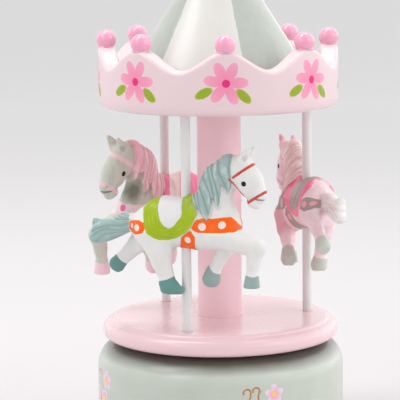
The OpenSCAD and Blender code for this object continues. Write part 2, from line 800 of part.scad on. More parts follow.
base_shell();
bottom_cover();
cover_screws();
base_felt();
shaft_bush();
bedplate();
bedplate_screws();
spring_housing();
housing_lid();
mainspring();
housing_posts();
housing_screws();
comb();
comb_block();
comb_screws();
inner_bearing_plate();
outer_bearing_plate();
governor_frame();
drive_shaft();
drive_gear();
ratchet_wheel();
click();
click_rivet();
hub_plate();
hub_screws();
platform();
column();
pole(0);  // pole_white_horse
pole(1);  // pole_pink_horse
pole(2);  // pole_grey_horse
horse(0, cream);  // horse_white
horse(1, blush);  // horse_pink
horse(2, sage);  // horse_grey
ceiling_disc();
crown_ring();
roof_cone();
crown_balls();
finial_ball();
finial_dowel();
pin_cylinder();
cylinder_shaft();
cylinder_pinion();
end_wheel();
governor_arbor();
governor_pinion();
worm_wheel();
worm_shaft();
worm();
air_brake();
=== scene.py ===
"""Looks of the carousel music box: painted wood, three carved horses, and the movement inside."""
import json
import math

import bpy
import numpy as np
from mathutils import Matrix, Vector


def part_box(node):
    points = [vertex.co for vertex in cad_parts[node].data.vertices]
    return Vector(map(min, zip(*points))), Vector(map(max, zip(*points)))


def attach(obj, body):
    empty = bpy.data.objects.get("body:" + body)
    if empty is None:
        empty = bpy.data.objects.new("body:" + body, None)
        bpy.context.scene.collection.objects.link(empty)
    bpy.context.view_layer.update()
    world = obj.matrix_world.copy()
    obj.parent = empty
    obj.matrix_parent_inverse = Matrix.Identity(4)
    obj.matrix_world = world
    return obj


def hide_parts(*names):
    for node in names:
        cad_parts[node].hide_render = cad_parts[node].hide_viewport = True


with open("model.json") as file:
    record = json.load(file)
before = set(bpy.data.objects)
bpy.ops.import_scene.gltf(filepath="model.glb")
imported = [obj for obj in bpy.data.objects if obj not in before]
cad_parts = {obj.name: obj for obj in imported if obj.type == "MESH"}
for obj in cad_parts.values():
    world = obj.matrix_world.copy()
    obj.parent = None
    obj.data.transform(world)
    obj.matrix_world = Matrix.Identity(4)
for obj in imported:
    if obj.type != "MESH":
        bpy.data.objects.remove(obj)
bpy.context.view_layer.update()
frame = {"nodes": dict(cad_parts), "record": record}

MM = 0.001

# -------- places, from the frame
# All in millimetres.


def node_box(name):
    """A CAD node's lowest and highest corner, in millimetres."""
    low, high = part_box(name)
    return np.array(low) / MM, np.array(high) / MM


platform_top = node_box("platform")[1][2]
base_top = node_box("base_shell")[1][2]
base_r = node_box("base_shell")[1][0]
column_r = node_box("column")[1][0]
ceiling_top = node_box("ceiling_disc")[1][2]
canopy_bottom = node_box("crown_ring")[0][2]
crown_peak = node_box("crown_ring")[1][2]
crown_r = node_box("crown_ring")[1][0]
crown_inner_r = node_box("ceiling_disc")[1][0] + 0.05
crown_wall = crown_r - crown_inner_r
roof_r = node_box("roof_cone")[1][0]
roof_top = node_box("roof_cone")[1][2]
finial_low, finial_high = node_box("finial_ball")
finial_r = (finial_high[0] - finial_low[0]) / 2
ball_top = node_box("crown_balls")[1][2]

# Sizes that a node's box doesn't show, the same as in part.scad
WAVES = 8
FIRST_PEAK = 3.5
WAVE_H = 8.0
BALL_R = 4.2
ROOF_TIP_R = 2.2
ball_ring_r = crown_r - crown_wall / 2
ball_centre_z = ball_top - BALL_R
crown_flower_z = canopy_bottom + 13.5

# Painted panels: the edge of a roof panel and the middle of a butterfly, in degrees from the front
ROOF_EDGE = -42.4
ROOF_PANEL = 60.0
BUTTERFLY_ANGLE = 15.0
BUTTERFLY_PITCH = 90.0

PINK = (0.87, 0.62, 0.655)
CROWN_PINK = (0.84, 0.66, 0.69)
# Painted light: the column's pink is paler than the platform's, standing in for more light on the column
# under the crown
LIT_COLUMN_PINK = (0.95, 0.66, 0.71)
BALL_PINK = (0.92, 0.40, 0.56)


# -------- camera, lights, floor

# The photo's view, fitted to the turned edges that it shows: millimetres and degrees
CAMERA_DISTANCE = 852.1
CAMERA_PITCH = 7.874
CAMERA_ROLL = 0.5
CAMERA_LENS = 179.36
CAMERA_SENSOR = 36
# Off-centre framing, as a fraction of the frame
CAMERA_SHIFT = (-0.048, -0.025)
AIM_ABOVE_PLATFORM = 53.95


def make_camera():
    pitch = math.radians(CAMERA_PITCH)
    roll = math.radians(CAMERA_ROLL)
    look_at = Vector((0, 0, platform_top + AIM_ABOVE_PLATFORM))
    forward = Vector((0, math.cos(pitch), -math.sin(pitch)))
    up = Vector((0, math.sin(pitch), math.cos(pitch)))
    right = Vector((1, 0, 0))
    right_rolled = right * math.cos(roll) - up * math.sin(roll)
    up_rolled = right * math.sin(roll) + up * math.cos(roll)
    data = bpy.data.cameras.new("camera")
    data.lens = CAMERA_LENS
    data.sensor_width = CAMERA_SENSOR
    data.shift_x, data.shift_y = CAMERA_SHIFT
    data.clip_start = 0.01
    data.clip_end = 40
    camera = bpy.data.objects.new("camera", data)
    bpy.context.collection.objects.link(camera)
    turn = Matrix((right_rolled, up_rolled, -forward)).transposed().to_4x4()
    camera.matrix_world = Matrix.Translation((look_at - forward * CAMERA_DISTANCE) * MM) @ turn
    bpy.context.scene.camera = camera


LAMP_DISTANCE = 900
LAMP_AIM_Z = 110


def softbox(name, azimuth, elevation, size, power):
    """A soft area light: degrees, millimetres, watts. Azimuth 0 is the camera's side and 90 its right."""
    a, e = math.radians(azimuth), math.radians(elevation)
    target = Vector((0, 0, LAMP_AIM_Z))
    away = Vector((math.sin(a) * math.cos(e), -math.cos(a) * math.cos(e), math.sin(e)))
    data = bpy.data.lights.new(name, "AREA")
    data.shape = "RECTANGLE"
    data.size, data.size_y = size[0] * MM, size[1] * MM
    data.energy = power
    lamp = bpy.data.objects.new(name, data)
    bpy.context.collection.objects.link(lamp)
    lamp.matrix_world = (Matrix.Translation((target + away * LAMP_DISTANCE) * MM)
                         @ away.to_track_quat("Z", "Y").to_matrix().to_4x4())


SKY = [  # direction, strength
    ((0, -1, 0.1), 0.62),
    ((0, 1, 0.1), 1.08),
    ((-1, 0, 0.1), 0.85),
    ((1, 0, 0.1), 1.75),
]


def make_world():
    """A white room with a broad glow from each side, strongest from the right."""
    world = bpy.data.worlds.new("studio")
    world.use_nodes = True
    tree = world.node_tree
    place = tree.nodes.new("ShaderNodeTexCoord")
    total = None
    for direction, strength in SKY:
        dot = tree.nodes.new("ShaderNodeVectorMath")
        dot.operation = "DOT_PRODUCT"
        tree.links.new(place.outputs["Generated"], dot.inputs[0])
        dot.inputs[1].default_value = Vector(direction).normalized()
        glow = tree.nodes.new("ShaderNodeMapRange")
        tree.links.new(dot.outputs["Value"], glow.inputs["Value"])
        glow.inputs["From Min"].default_value = 0.25
        glow.inputs["To Max"].default_value = strength
        if total is None:
            total = glow.outputs[0]
        else:
            both = tree.nodes.new("ShaderNodeMath")
            tree.links.new(total, both.inputs[0])
            tree.links.new(glow.outputs[0], both.inputs[1])
            total = both.outputs[0]
    tree.links.new(total, tree.nodes["Background"].inputs["Strength"])
    tree.nodes["Background"].inputs["Color"].default_value = (1, 1, 1, 1)
    bpy.context.scene.world = world


def make_lights():
    softbox("left_strip", -42, 30, (260, 260), 0.5)
    softbox("right_strip", 60, 28, (200, 400), 0.6)
    softbox("back_top", 180, 68, (500, 260), 1.6)
    softbox("left_window", -75, 50, (300, 300), 1.3)
    softbox("left_top", -90, 72, (300, 300), 2.3)
    softbox("right_top", 90, 72, (300, 300), 0.9)
    make_world()
    bpy.context.scene.view_settings.view_transform = "Standard"


# -------- node trees

# Half the width of a painted edge, in millimetres
PAINT_EDGE = 0.07


class Graph:
    """One material's node tree, with short calls for the nodes used here."""

    def __init__(self, name):
        self.material = bpy.data.materials.new(name)
        self.material.use_nodes = True
        self.tree = self.material.node_tree
        self.tree.nodes.clear()
        self.shader = self.tree.nodes.new("ShaderNodeBsdfPrincipled")
        output = self.tree.nodes.new("ShaderNodeOutputMaterial")
        self.tree.links.new(self.shader.outputs[0], output.inputs["Surface"])
        self.place = None

    def node(self, kind, outlet=0, **settings):
        """Adds a node; settings named like its sockets feed them, and the rest are its properties."""
        made = self.tree.nodes.new(kind)
        for key, value in settings.items():
            if hasattr(made, key):
                setattr(made, key, value)
            else:
                self.feed(made.inputs[key.replace("_", " ")], value)
        return made.outputs[outlet]

    def feed(self, socket, value):
        if isinstance(value, bpy.types.NodeSocket):
            self.tree.links.new(value, socket)
        elif isinstance(value, tuple) and len(value) == 3 and socket.type == "RGBA":
            socket.default_value = (*value, 1)
        else:
            socket.default_value = value

    def shade(self, **values):
        """Sets the shader's own sockets, such as Base_Color or Roughness."""
        for key, value in values.items():
            self.feed(self.shader.inputs[key.replace("_", " ")], value)

    def math(self, operation, *values):
        made = self.tree.nodes.new("ShaderNodeMath")
        made.operation = operation
        for socket, value in zip(made.inputs, values):
            self.feed(socket, value)
        return made.outputs[0]

    def add(self, a, b):
        return self.math("ADD", a, b)

    def times(self, a, b):
        return self.math("MULTIPLY", a, b)

    def largest(self, values):
        found = values[0]
        for value in values[1:]:
            found = self.math("MAXIMUM", found, value)
        return found

    def ramp(self, value, start, end, low=0.0, high=1.0):
        """Goes from low to high as value goes from start to end, and stays there."""
        made = self.tree.nodes.new("ShaderNodeMapRange")
        for socket, v in zip(made.inputs, (value, start, end, low, high)):
            self.feed(socket, v)
        return made.outputs[0]

    def mix(self, factor, a, b):
        made = self.tree.nodes.new("ShaderNodeMix")
        made.data_type = "RGBA"
        self.feed(made.inputs[0], factor)
        self.feed(made.inputs[6], a)
        self.feed(made.inputs[7], b)
        return made.outputs[2]

    def object_place(self):
        """The point on the piece, in metres in the piece's own frame."""
        if self.place is None:
            self.place = self.node("ShaderNodeTexCoord", 3)
        return self.place

    def axes(self):
        """x, y and z of the point on the piece, in millimetres."""
        made = self.tree.nodes.new("ShaderNodeSeparateXYZ")
        self.feed(made.inputs[0], self.object_place())
        return [self.times(out, 1 / MM) for out in made.outputs]

    def noise(self, size, detail=2.0, stretch=(1, 1, 1), roughness=0.5, distortion=0.0):
        """Noise about 0.5 whose lumps are about size millimetres across."""
        scaled = self.node("ShaderNodeMapping", Scale=tuple(s / (size * MM) for s in stretch),
                           Vector=self.object_place())
        return self.node("ShaderNodeTexNoise", Vector=scaled, Scale=1.0, Detail=detail,
                         Roughness=roughness, Distortion=distortion)

    def attribute(self, name):
        return self.node("ShaderNodeAttribute", 2, attribute_name=name)

    def bump(self, height, strength, distance):
        """Feeds the normal with height, where distance is millimetres for a height of 1."""
        self.shade(Normal=self.node("ShaderNodeBump", Height=height, Strength=strength,
                                    Distance=distance * MM))

    def ellipse(self, u, v, centre, half, tilt):
        """Millimetres inside a tilted ellipse: above 0 within it. Tilt is in degrees, anticlockwise."""
        c, s = math.cos(math.radians(tilt)), math.sin(math.radians(tilt))
        du, dv = self.add(u, -centre[0]), self.add(v, -centre[1])
        along = self.add(self.times(du, c / half[0]), self.times(dv, s / half[0]))
        across = self.add(self.times(dv, c / half[1]), self.times(du, -s / half[1]))
        squares = self.add(self.math("POWER", along, 2.0), self.math("POWER", across, 2.0))
        return self.times(self.math("SUBTRACT", 1.0, self.math("SQRT", squares)), min(half))

    def hypot(self, u, v):
        return self.math("SQRT", self.add(self.times(u, u), self.times(v, v)))

    def inside(self, distance):
        """1 where distance is above 0, with a slightly soft edge."""
        return self.ramp(distance, -PAINT_EDGE, PAINT_EDGE)

    def wavy(self, size, detail, amount):
        """Noise from -amount to amount, for edges that a hand has painted."""
        return self.ramp(self.noise(size, detail), 0.3, 0.7, -amount, amount)


def turned_paint(name, *values):
    return finish(Graph(name), *values)


def finish(g, colour, gloss=0.3, coat=0.3, grain=0.05, mottle=0.05):
    """Satin paint on turned wood: slightly uneven tone, soft orange peel, and a coat."""
    cloud = g.noise(26.0, 1.0)
    darker = g.node("ShaderNodeHueSaturation", Value=1 - mottle, Saturation=1 + mottle, Color=colour)
    lighter = g.node("ShaderNodeHueSaturation", Value=1 + mottle / 2, Saturation=1 - mottle / 2, Color=colour)
    tone = g.mix(cloud, darker, lighter)
    relief = g.add(g.noise(3.6, 1.0), g.times(g.noise(1.2, 1.0), 0.12))
    g.bump(relief, grain, 0.5)
    g.shade(Base_Color=tone, Roughness=g.ramp(cloud, 0.0, 1.0, gloss - 0.01, gloss + 0.03),
            Coat_Weight=coat, Coat_Roughness=0.14)
    return g.material


def around_axis(g):
    """The angle in degrees, from -Y towards +X, and the radius and height in millimetres of the point."""
    x, y, z = g.axes()
    angle = g.times(g.math("ARCTAN2", x, g.times(y, -1.0)), 180 / math.pi)
    return angle, g.hypot(x, y), z


def fold_angle(g, angle, first, pitch):
    """Repeats the angle every pitch degrees, with 0 at first. The added turn keeps it above 0."""
    shifted = g.add(angle, pitch / 2 - first + 8 * pitch)
    return g.add(g.math("MODULO", shifted, pitch), -pitch / 2)


def flower_paint(g, u, v, ground, petals, petal_half, reach, centre_r, petal_colour, tip_colour,
                 centre_colour):
    """Petals round a centre at u = v = 0; angles in degrees, anticlockwise from +u."""
    out = g.hypot(u, v)
    found = []
    for angle in petals:
        t = math.radians(angle)
        found.append(g.ellipse(u, v, (reach * math.cos(t), reach * math.sin(t)), petal_half, angle))
    shape = g.add(g.largest(found), g.wavy(1.3, 2.0, 0.10))
    petal = g.mix(g.ramp(out, reach * 0.5, reach + petal_half[0] * 0.9), petal_colour, tip_colour)
    petal = g.mix(g.ramp(g.noise(1.2, 3.0), 0.45, 0.75, 0.0, 0.35), petal, tip_colour)
    tone = g.mix(g.inside(shape), ground, petal)
    return g.mix(g.inside(g.add(g.times(out, -1.0), centre_r)), tone, centre_colour)


def crown_paint():
    """Pink paint with a flower and two leaves under each peak, on the outside only."""
    g = Graph("crown_paint")
    angle, radius, z = around_axis(g)
    u = g.times(fold_angle(g, angle, FIRST_PEAK, 360 / WAVES), math.pi / 180 * crown_r)
    v = g.add(z, -crown_flower_z)
    tone = CROWN_PINK
    for centre, half, tilt in (((-9.0, -3.9), (3.95, 1.9), 27), ((7.1, -5.2), (3.9, 1.9), -42)):
        leaf = g.add(g.ellipse(u, v, centre, half, tilt), g.wavy(1.5, 2.0, 0.08))
        green = g.mix(g.ramp(leaf, 0.0, 0.35), (0.50, 0.60, 0.06), (0.30, 0.42, 0.004))
        green = g.mix(g.ramp(g.noise(1.0, 3.0), 0.5, 0.8, 0.0, 0.5), green, (0.44, 0.55, 0.02))
        tone = g.mix(g.inside(leaf), tone, green)
    tone = flower_paint(g, u, v, tone, (2, 64, 116, 170, 232, 296), (3.95, 2.2), 5.2, 1.65,
                        (0.93, 0.29, 0.47), (0.94, 0.38, 0.54), (0.78, 0.012, 0.18))
    outside = g.ramp(radius, crown_r - 1.5, crown_r - 1.3)
    return finish(g, g.mix(outside, CROWN_PINK, tone), 0.32, 0.15)


def roof_paint():
    """Panels that are white and sage by turns, with slightly unsteady edges."""
    g = Graph("roof_panels")
    angle, radius, z = around_axis(g)
    wobble = g.times(g.wavy(5.0, 2.0, 0.25), g.math("DIVIDE", math.degrees(1), g.add(radius, 2.0)))
    panel = g.math("MODULO", g.add(g.add(angle, wobble), 360 - ROOF_EDGE), 2 * ROOF_PANEL)
    width = g.math("DIVIDE", 4.5, g.add(radius, 1.0))
    rising = g.ramp(panel, g.times(width, -1.0), width)
    falling = g.ramp(panel, g.math("SUBTRACT", ROOF_PANEL, width), g.add(width, ROOF_PANEL), 1.0, 0.0)
    last = g.ramp(panel, g.math("SUBTRACT", 2 * ROOF_PANEL, width), 2 * ROOF_PANEL)
    white = g.math("MAXIMUM", g.math("MINIMUM", rising, falling), last)
    brushed = g.ramp(g.noise(3.0, 3.0, (1, 1, 0.2)), 0.35, 0.7, 0.0, 0.4)
    sage = g.mix(brushed, (0.43, 0.47, 0.42), (0.50, 0.54, 0.49))
    pale = g.mix(brushed, (0.72, 0.71, 0.68), (0.68, 0.67, 0.64))
    return finish(g, g.mix(white, sage, pale), 0.32, 0.25)


def arc_line(g, u, v, centre, radius, half, keep_u=None, keep_v=None):
    """Millimetres inside a painted arc. keep_u and keep_v are half planes to stay in, as (side, limit)."""
    out = g.hypot(g.add(u, -centre[0]), g.add(v, -centre[1]))
    line = g.math("SUBTRACT", half, g.math("ABSOLUTE", g.add(out, -radius)))
    for axis, keep in ((u, keep_u), (v, keep_v)):
        if keep:
            line = g.math("MINIMUM", line, g.times(g.add(axis, -keep[1]), keep[0]))
    return line


def base_paint():
    """Sage paint with four butterflies and small flowers, and painted shade near black at the top, under the
    platform.
    """
    g = Graph("base_panels")
    angle, radius, v = around_axis(g)
    u = g.times(fold_angle(g, angle, BUTTERFLY_ANGLE, BUTTERFLY_PITCH), math.pi / 180 * base_r)
    tone = g.mix(g.ramp(g.noise(14.0, 3.0), 0.3, 0.7), (0.55, 0.60, 0.525), (0.58, 0.625, 0.555))
    # painted shade: the top of the base is painted near black under the platform, where the platform's shadow
    # falls
    painted_shade = g.ramp(g.add(v, g.wavy(9.0, 1.0, 0.2)), base_top - 6.2, base_top - 1.6, 0.0, 0.90)
    tone = g.mix(painted_shade, tone, (0.075, 0.064, 0.048))
    # wings: two pairs, with pale edges and a warm heart
    wings = [((4.6, 21.5), (5.0, 3.3), 40), ((3.9, 15.2), (3.8, 2.6), -38),
             ((-5.0, 21.8), (4.8, 3.2), 144), ((-4.0, 15.6), (3.6, 2.5), 222)]
    shape = g.largest([g.ellipse(u, v, c, h, t) for c, h, t in wings])
    shape = g.add(shape, g.wavy(1.4, 2.0, 0.10))
    wing = g.mix(g.ramp(shape, 0.3, 1.5), (0.80, 0.70, 0.86), (0.90, 0.34, 0.52))
    wing = g.mix(g.ramp(shape, 1.7, 2.4), wing, (0.98, 0.72, 0.22))
    tone = g.mix(g.inside(shape), tone, wing)
    body = g.ellipse(u, v, (0.0, 19.0), (5.4, 0.85), 92)
    brown = g.mix(g.ramp(g.noise(1.5, 2.0), 0.35, 0.7), (0.42, 0.15, 0.035), (0.58, 0.29, 0.09))
    antennae = [arc_line(g, u, v, (-3.1, 31.3), 1.55, 0.36, keep_v=(1, 30.6)),
                arc_line(g, u, v, (-7.9, 30.9), 6.3, 0.36, keep_u=(1, -5.0), keep_v=(-1, 31.4)),
                arc_line(g, u, v, (0.7, 31.9), 1.45, 0.36, keep_v=(1, 31.3)),
                arc_line(g, u, v, (4.9, 29.4), 3.3, 0.36, keep_u=(-1, 4.2), keep_v=(-1, 31.8))]
    lines = g.largest(antennae + [body])
    lines = g.math("MINIMUM", lines, g.add(v, -12.0))
    tone = g.mix(g.inside(lines), tone, brown)
    tone = flower_paint(g, g.add(u, -8.7), g.add(v, -30.1), tone, (20, 92, 164, 236, 308), (1.95, 1.5),
                        2.2, 1.2, (0.90, 0.40, 0.58), (0.86, 0.74, 0.90), (0.98, 0.62, 0.16))
    return finish(g, tone, 0.30, 0.3)


def platform_paint():
    """Pink paint, with the glue and shade that gather where the poles and the column stand."""
    g = Graph("platform_paint")
    x, y, z = g.axes()
    rings = []
    for name in ("pole_white_horse", "pole_pink_horse", "pole_grey_horse"):
        low, high = node_box(name)
        centre, r = (low + high) / 2, (high[0] - low[0]) / 2
        rings.append(g.math("SUBTRACT", r + 0.45, g.hypot(g.add(x, -centre[0]), g.add(y, -centre[1]))))
    seam = g.math("SUBTRACT", column_r + 0.3, g.hypot(x, y))
    shade = g.math("MAXIMUM", g.times(g.ramp(g.largest(rings), -0.25, 0.15), 0.75),
                   g.times(g.ramp(seam, -0.25, 0.15), 0.35))
    top = g.ramp(z, platform_top - 0.5, platform_top - 0.2)
    tone = g.mix(g.times(shade, top), PINK, (0.32, 0.20, 0.17))
    return finish(g, tone, 0.26, 0.35, 0.03)


# -------- finishes of the movement and the felt

EVEN, TURNED, BRUSHED = (1, 1, 1), (1, 1, 6), (0.12, 1, 1)


def metal(name, colour, roughness, marks=EVEN):
    """Bare metal with small dull spots. marks says which way its fine scratches run."""
    g = Graph(name)
    cloud = g.ramp(g.noise(7.0, 3.0), 0.3, 0.7)
    tone = g.mix(cloud, tuple(c * 0.86 for c in colour), colour)
    spots = g.ramp(g.noise(1.1, 4.0), 0.62, 0.8, 0.0, 0.35)
    tone = g.mix(spots, tone, tuple(c * 0.62 for c in colour))
    g.bump(g.noise(0.35, 3.0, marks), 0.105 if marks == EVEN else 0.35, 0.06)
    uneven = g.ramp(cloud, 0.0, 1.0, roughness - 0.06, roughness + 0.08)
    g.shade(Base_Color=tone, Metallic=1.0, Roughness=uneven)
    return g.material


def moulded_plastic(name, colour):
    g = Graph(name)
    tone = g.mix(g.ramp(g.noise(5.0, 2.0), 0.3, 0.7), tuple(c * 0.95 for c in colour), colour)
    g.bump(g.noise(0.25, 3.0), 0.25, 0.05)
    g.shade(Base_Color=tone, Roughness=0.42, Subsurface_Weight=0.05)
    return g.material


def bare_wood(name):
    """Plain beech: rings seen along the board, pores, and sanding scratches."""
    g = Graph(name)
    grain = g.noise(3.2, 4.0, (0.12, 1.0, 1.0), distortion=0.6)
    rings = g.ramp(grain, 0.35, 0.65)
    tone = g.mix(rings, (0.50, 0.31, 0.16), (0.66, 0.47, 0.28))
    pores = g.ramp(g.noise(0.5, 2.0, (0.1, 1.0, 1.0)), 0.62, 0.75, 0.0, 0.6)
    tone = g.mix(pores, tone, (0.30, 0.17, 0.08))
    g.bump(g.add(g.times(rings, 0.4), g.times(pores, -0.6)), 0.4, 0.12)
    g.shade(Base_Color=tone, Roughness=0.58)
    return g.material


def felt(name):
    g = Graph(name)
    fibres = g.noise(0.6, 5.0, roughness=0.7, distortion=1.2)
    tone = g.mix(g.ramp(fibres, 0.3, 0.7), (0.022, 0.030, 0.026), (0.060, 0.074, 0.066))
    tone = g.mix(g.ramp(g.noise(12.0, 2.0), 0.4, 0.7, 0.0, 0.3), tone, (0.075, 0.088, 0.080))
    g.bump(fibres, 0.8, 0.35)
    g.shade(Base_Color=tone, Roughness=0.95, Sheen_Weight=0.4, Sheen_Roughness=0.5)
    return g.material


# -------- horse shape
# Millimetres, in a frame at the pole: x forward, y to the horse's left, z up from the platform.

# Outlines as (x, z)
MANE = [(21.0, 74.6), (21.4, 68.0), (21.2, 63.0), (20.2, 59.0), (18.4, 61.4), (16.8, 62.4), (17.2, 58.6),
        (16.6, 53.4), (14.6, 55.4), (13.2, 57.2), (13.4, 52.8), (12.0, 47.8), (10.0, 50.2), (7.6, 52.2),
        (5.0, 55.0), (3.6, 57.6), (3.6, 62.0), (7.0, 70.0), (12.0, 76.0)]
TAIL = [(-18.0, 47.0), (-24.0, 48.6), (-28.9, 48.2), (-31.5, 46.4), (-34.5, 45.6), (-38.7, 45.1),
        (-41.6, 45.5), (-42.4, 41.0), (-43.7, 36.4), (-41.2, 35.2), (-38.7, 35.0), (-34.0, 36.3),
        (-30.7, 37.7), (-24.4, 40.7), (-18.0, 41.8)]
SADDLE = [(-17.0, 51.6), (-14.0, 55.4), (-13.4, 60.0), (5.4, 60.0), (6.6, 54.2), (7.5, 50.0), (5.2, 45.0),
          (3.0, 42.8), (0.2, 41.1), (-2.6, 39.7), (-5.7, 39.0), (-8.6, 39.0), (-11.0, 39.7), (-13.7, 41.6),
          (-15.4, 45.6)]
SEAT = [(-11.2, 60.0), (-10.4, 56.5), (-9.7, 52.0), (-8.3, 47.3), (-6.8, 45.2), (-4.9, 44.0), (-3.4, 44.3),
        (-2.0, 45.5), (0.8, 48.8), (1.0, 50.4), (0.3, 53.1), (-0.1, 56.9), (0.0, 60.0)]
WIDE_SEAT = [(-13.6, 60.0), (-13.6, 51.6), (-13.2, 47.3), (-11.8, 43.4), (-8.4, 42.0), (-4.1, 41.9),
             (-0.6, 43.0), (1.2, 45.4), (0.6, 49.0), (-0.6, 52.5), (-0.6, 60.0)]
BREAST_STRAP = [(5.2, 44.6), (7.2, 48.1), (11.2, 49.1), (14.1, 48.7), (19.0, 49.4), (21.6, 49.4),
                (23.0, 47.8), (24.8, 44.4), (23.6, 43.6), (18.4, 43.2), (8.2, 42.8), (6.4, 43.4)]
CHEST_BAND = [(20.0, 49.4), (30.0, 49.4), (30.0, 46.0), (24.8, 44.4), (20.0, 43.2)]
REAR_STRAP = [(-24.4, 42.4), (-24.0, 45.4), (-21.6, 46.3), (-18.2, 46.7), (-15.2, 45.9), (-14.4, 43.6),
              (-15.7, 41.6), (-19.4, 40.6), (-22.6, 41.2)]
GIRTH = [(4.8, 43.7), (0.5, 40.6), (-0.5, 37.6), (-2.2, 34.6), (-2.6, 30.0), (5.0, 30.0), (5.8, 36.2),
         (6.8, 40.8)]
# Painted dots as (x, z, radius)
DOTS = [(10.1, 45.4, 1.65), (18.3, 46.3, 1.5), (-18.8, 43.6, 1.4), (-22.3, 43.9, 1.0), (3.2, 39.4, 1.4)]
# Painted lines: both ends and half the width
BRIDLE = [((22.0, 65.4), (29.6, 70.6), 0.58), ((20.5, 64.8), (28.0, 55.3), 0.36),
          ((28.0, 55.3), (36.2, 60.4), 0.58)]
EYE = (26.8, 63.1, 1.08)
HOOF_PAINT = [  # outline in x and z, side
    ([(26.0, 25.6), (28.6, 26.1), (31.2, 25.5), (34.6, 26.2), (35.0, 18.0), (25.0, 18.0)], -1),
    ([(3.0, 23.0), (6.4, 26.0), (8.6, 27.6), (11.4, 25.0), (15.0, 23.0), (15.0, 16.5), (3.0, 16.5)], 1),
    ([(-13.0, 21.0), (-10.0, 21.6), (-6.0, 22.6), (-3.1, 24.0), (1.6, 20.0), (2.0, 14.0), (-13.0, 14.0)], -1),
    ([(-35.7, 32.7), (-32.1, 29.6), (-28.4, 26.1), (-29.2, 20.2), (-40.0, 20.2), (-40.0, 29.2)], 1),
]
# Where the strands point
MANE_PIVOT = (21.0, 34.0)
TAIL_PIVOT = (-9.0, 47.5)
# Sideways places of the near and far legs
NEAR, FAR = -4.2, 4.2
# Rods of the carving: both ends, their radii, the thickness across, and the blend into the rods before
TRUNK = [((-8, 0, 45.2), (6, 0, 45.2), 9.9, 10.0, 0.74, 0),
         ((-14.6, 0, 43.2), (-12.0, 0, 44.4), 9.3, 9.6, 0.78, 3.0),
         ((10, 0, 45.0), (14.6, 0, 45.6), 9.9, 9.3, 0.74, 3.0)]
NECK = [((12.9, 0, 53.6), (14.9, 0, 62.6), 7.5, 6.0, 0.68, 0),
        ((14.9, 0, 62.6), (20.0, 0, 67.8), 6.0, 5.3, 0.68, 2.0)]
HEAD = [((24.6, 0, 69.0), (28.2, 0, 63.6), 5.5, 5.2, 0.72, 0),
        ((28.2, 0, 63.6), (31.0, 0, 59.4), 5.0, 3.8, 0.76, 2.0),
        ((24.2, 0, 65.4), (27.6, 0, 60.4), 3.5, 3.2, 1.0, 2.0),
        ((32.1, 0, 59.2), (32.2, 0, 57.2), 2.8, 2.6, 1.05, 1.2),
        ((29.2, 0, 55.3), (30.6, 0, 54.6), 2.4, 2.2, 1.05, 0.7)]
SADDLE_PADS = [((1.8, 0, 54.0), (3.0, 0, 54.8), 2.4, 2.2, 1.4, 1.8),
               ((-14.8, 0, 50.2), (-13.6, 0, 51.6), 2.0, 1.8, 1.8, 2.0)]
EAR = ((25.6, 2.4, 72.6), (28.8, 2.9, 76.8), 2.5, 0.9, 0.9)
EAR_HOLLOW = ((27.2, 4.1, 73.0), (29.6, 4.1, 76.0), 1.1, 0.4, 0.8)
# Legs: side, joints from the body down as (x, z, radius), thickness across, and the blend into the body
LEGS = [
    (NEAR, [(15.0, 41.6, 5.6), (32.2, 37.4, 3.9), (30.9, 31.2, 2.7), (30.3, 27.0, 2.5)], 0.86, 2.2),
    (FAR, [(16.8, 41.0, 5.2), (15.4, 35.0, 3.9), (13.2, 30.4, 2.7), (11.0, 26.2, 2.6)], 0.86, 2.2),
    (NEAR, [(-14.0, 41.8, 7.2), (-10.4, 34.6, 5.6), (-9.5, 29.6, 4.2), (-8.0, 25.4, 3.3),
            (-7.0, 22.6, 3.3)], 0.70, 2.0),
    (FAR, [(-16.4, 41.6, 7.0), (-23.2, 35.4, 4.0), (-29.4, 29.4, 3.1)], 0.66, 2.2),
]
KNEE_BLEND = 1.2


def smooth_min(a, b, k):
    """The smaller of two distances, with the crease between them rounded over k millimetres."""
    h = np.maximum(k - np.abs(a - b), 0.0) / k
    return np.minimum(a, b) - h * h * k * 0.25


def rod(p, a, b, ra, rb, width):
    """Distance to a tapered rod with round ends, squeezed in y to width times its thickness."""
    s = 1.0 / width
    ax, ay, az = a[0], a[1] * s, a[2]
    bx, by, bz = b[0] - ax, b[1] * s - ay, b[2] - az
    qx, qy, qz = p[0] - ax, p[1] * s - ay, p[2] - az
    t = np.clip((qx * bx + qy * by + qz * bz) / (bx * bx + by * by + bz * bz), 0.0, 1.0)
    d = np.sqrt((qx - t * bx) ** 2 + (qy - t * by) ** 2 + (qz - t * bz) ** 2)
    return (d - (ra + (rb - ra) * t)) * min(width, 1.0) ** 0.5


def joined_rods(p, rods, found=None):
    """Rods blended one after another into each other, and into what was found before them."""
    for *shape, blend in rods:
        part = rod(p, *shape)
        found = part if found is None else smooth_min(found, part, blend)
    return found


def limb(p, side, joints, width):
    """Rods joined at rounded joints; each joint is (x, z, radius)."""
    return joined_rods(p, [((x0, side, z0), (x1, side, z1), r0, r1, width, KNEE_BLEND)
                           for (x0, z0, r0), (x1, z1, r1) in zip(joints, joints[1:])])


def ball_distance(p, centre, radius):
    return np.sqrt(sum((a - b) ** 2 for a, b in zip(p, centre))) - radius


def outline(u, v, points):
    """Signed distance from (u, v) to a closed outline, negative inside."""
    best = 1e9
    inside = np.zeros(np.shape(u + v), bool)
    for (x0, y0), (x1, y1) in zip(points, points[1:] + points[:1]):
        ex, ey = x1 - x0, y1 - y0
        t = np.clip(((u - x0) * ex + (v - y0) * ey) / (ex * ex + ey * ey), 0.0, 1.0)
        best = np.minimum(best, (u - x0 - t * ex) ** 2 + (v - y0 - t * ey) ** 2)
        if y0 != y1:
            inside ^= ((y0 > v) != (y1 > v)) & (u < x0 + (v - y0) * ex / ey)
    return np.sqrt(best) * np.where(inside, -1.0, 1.0)


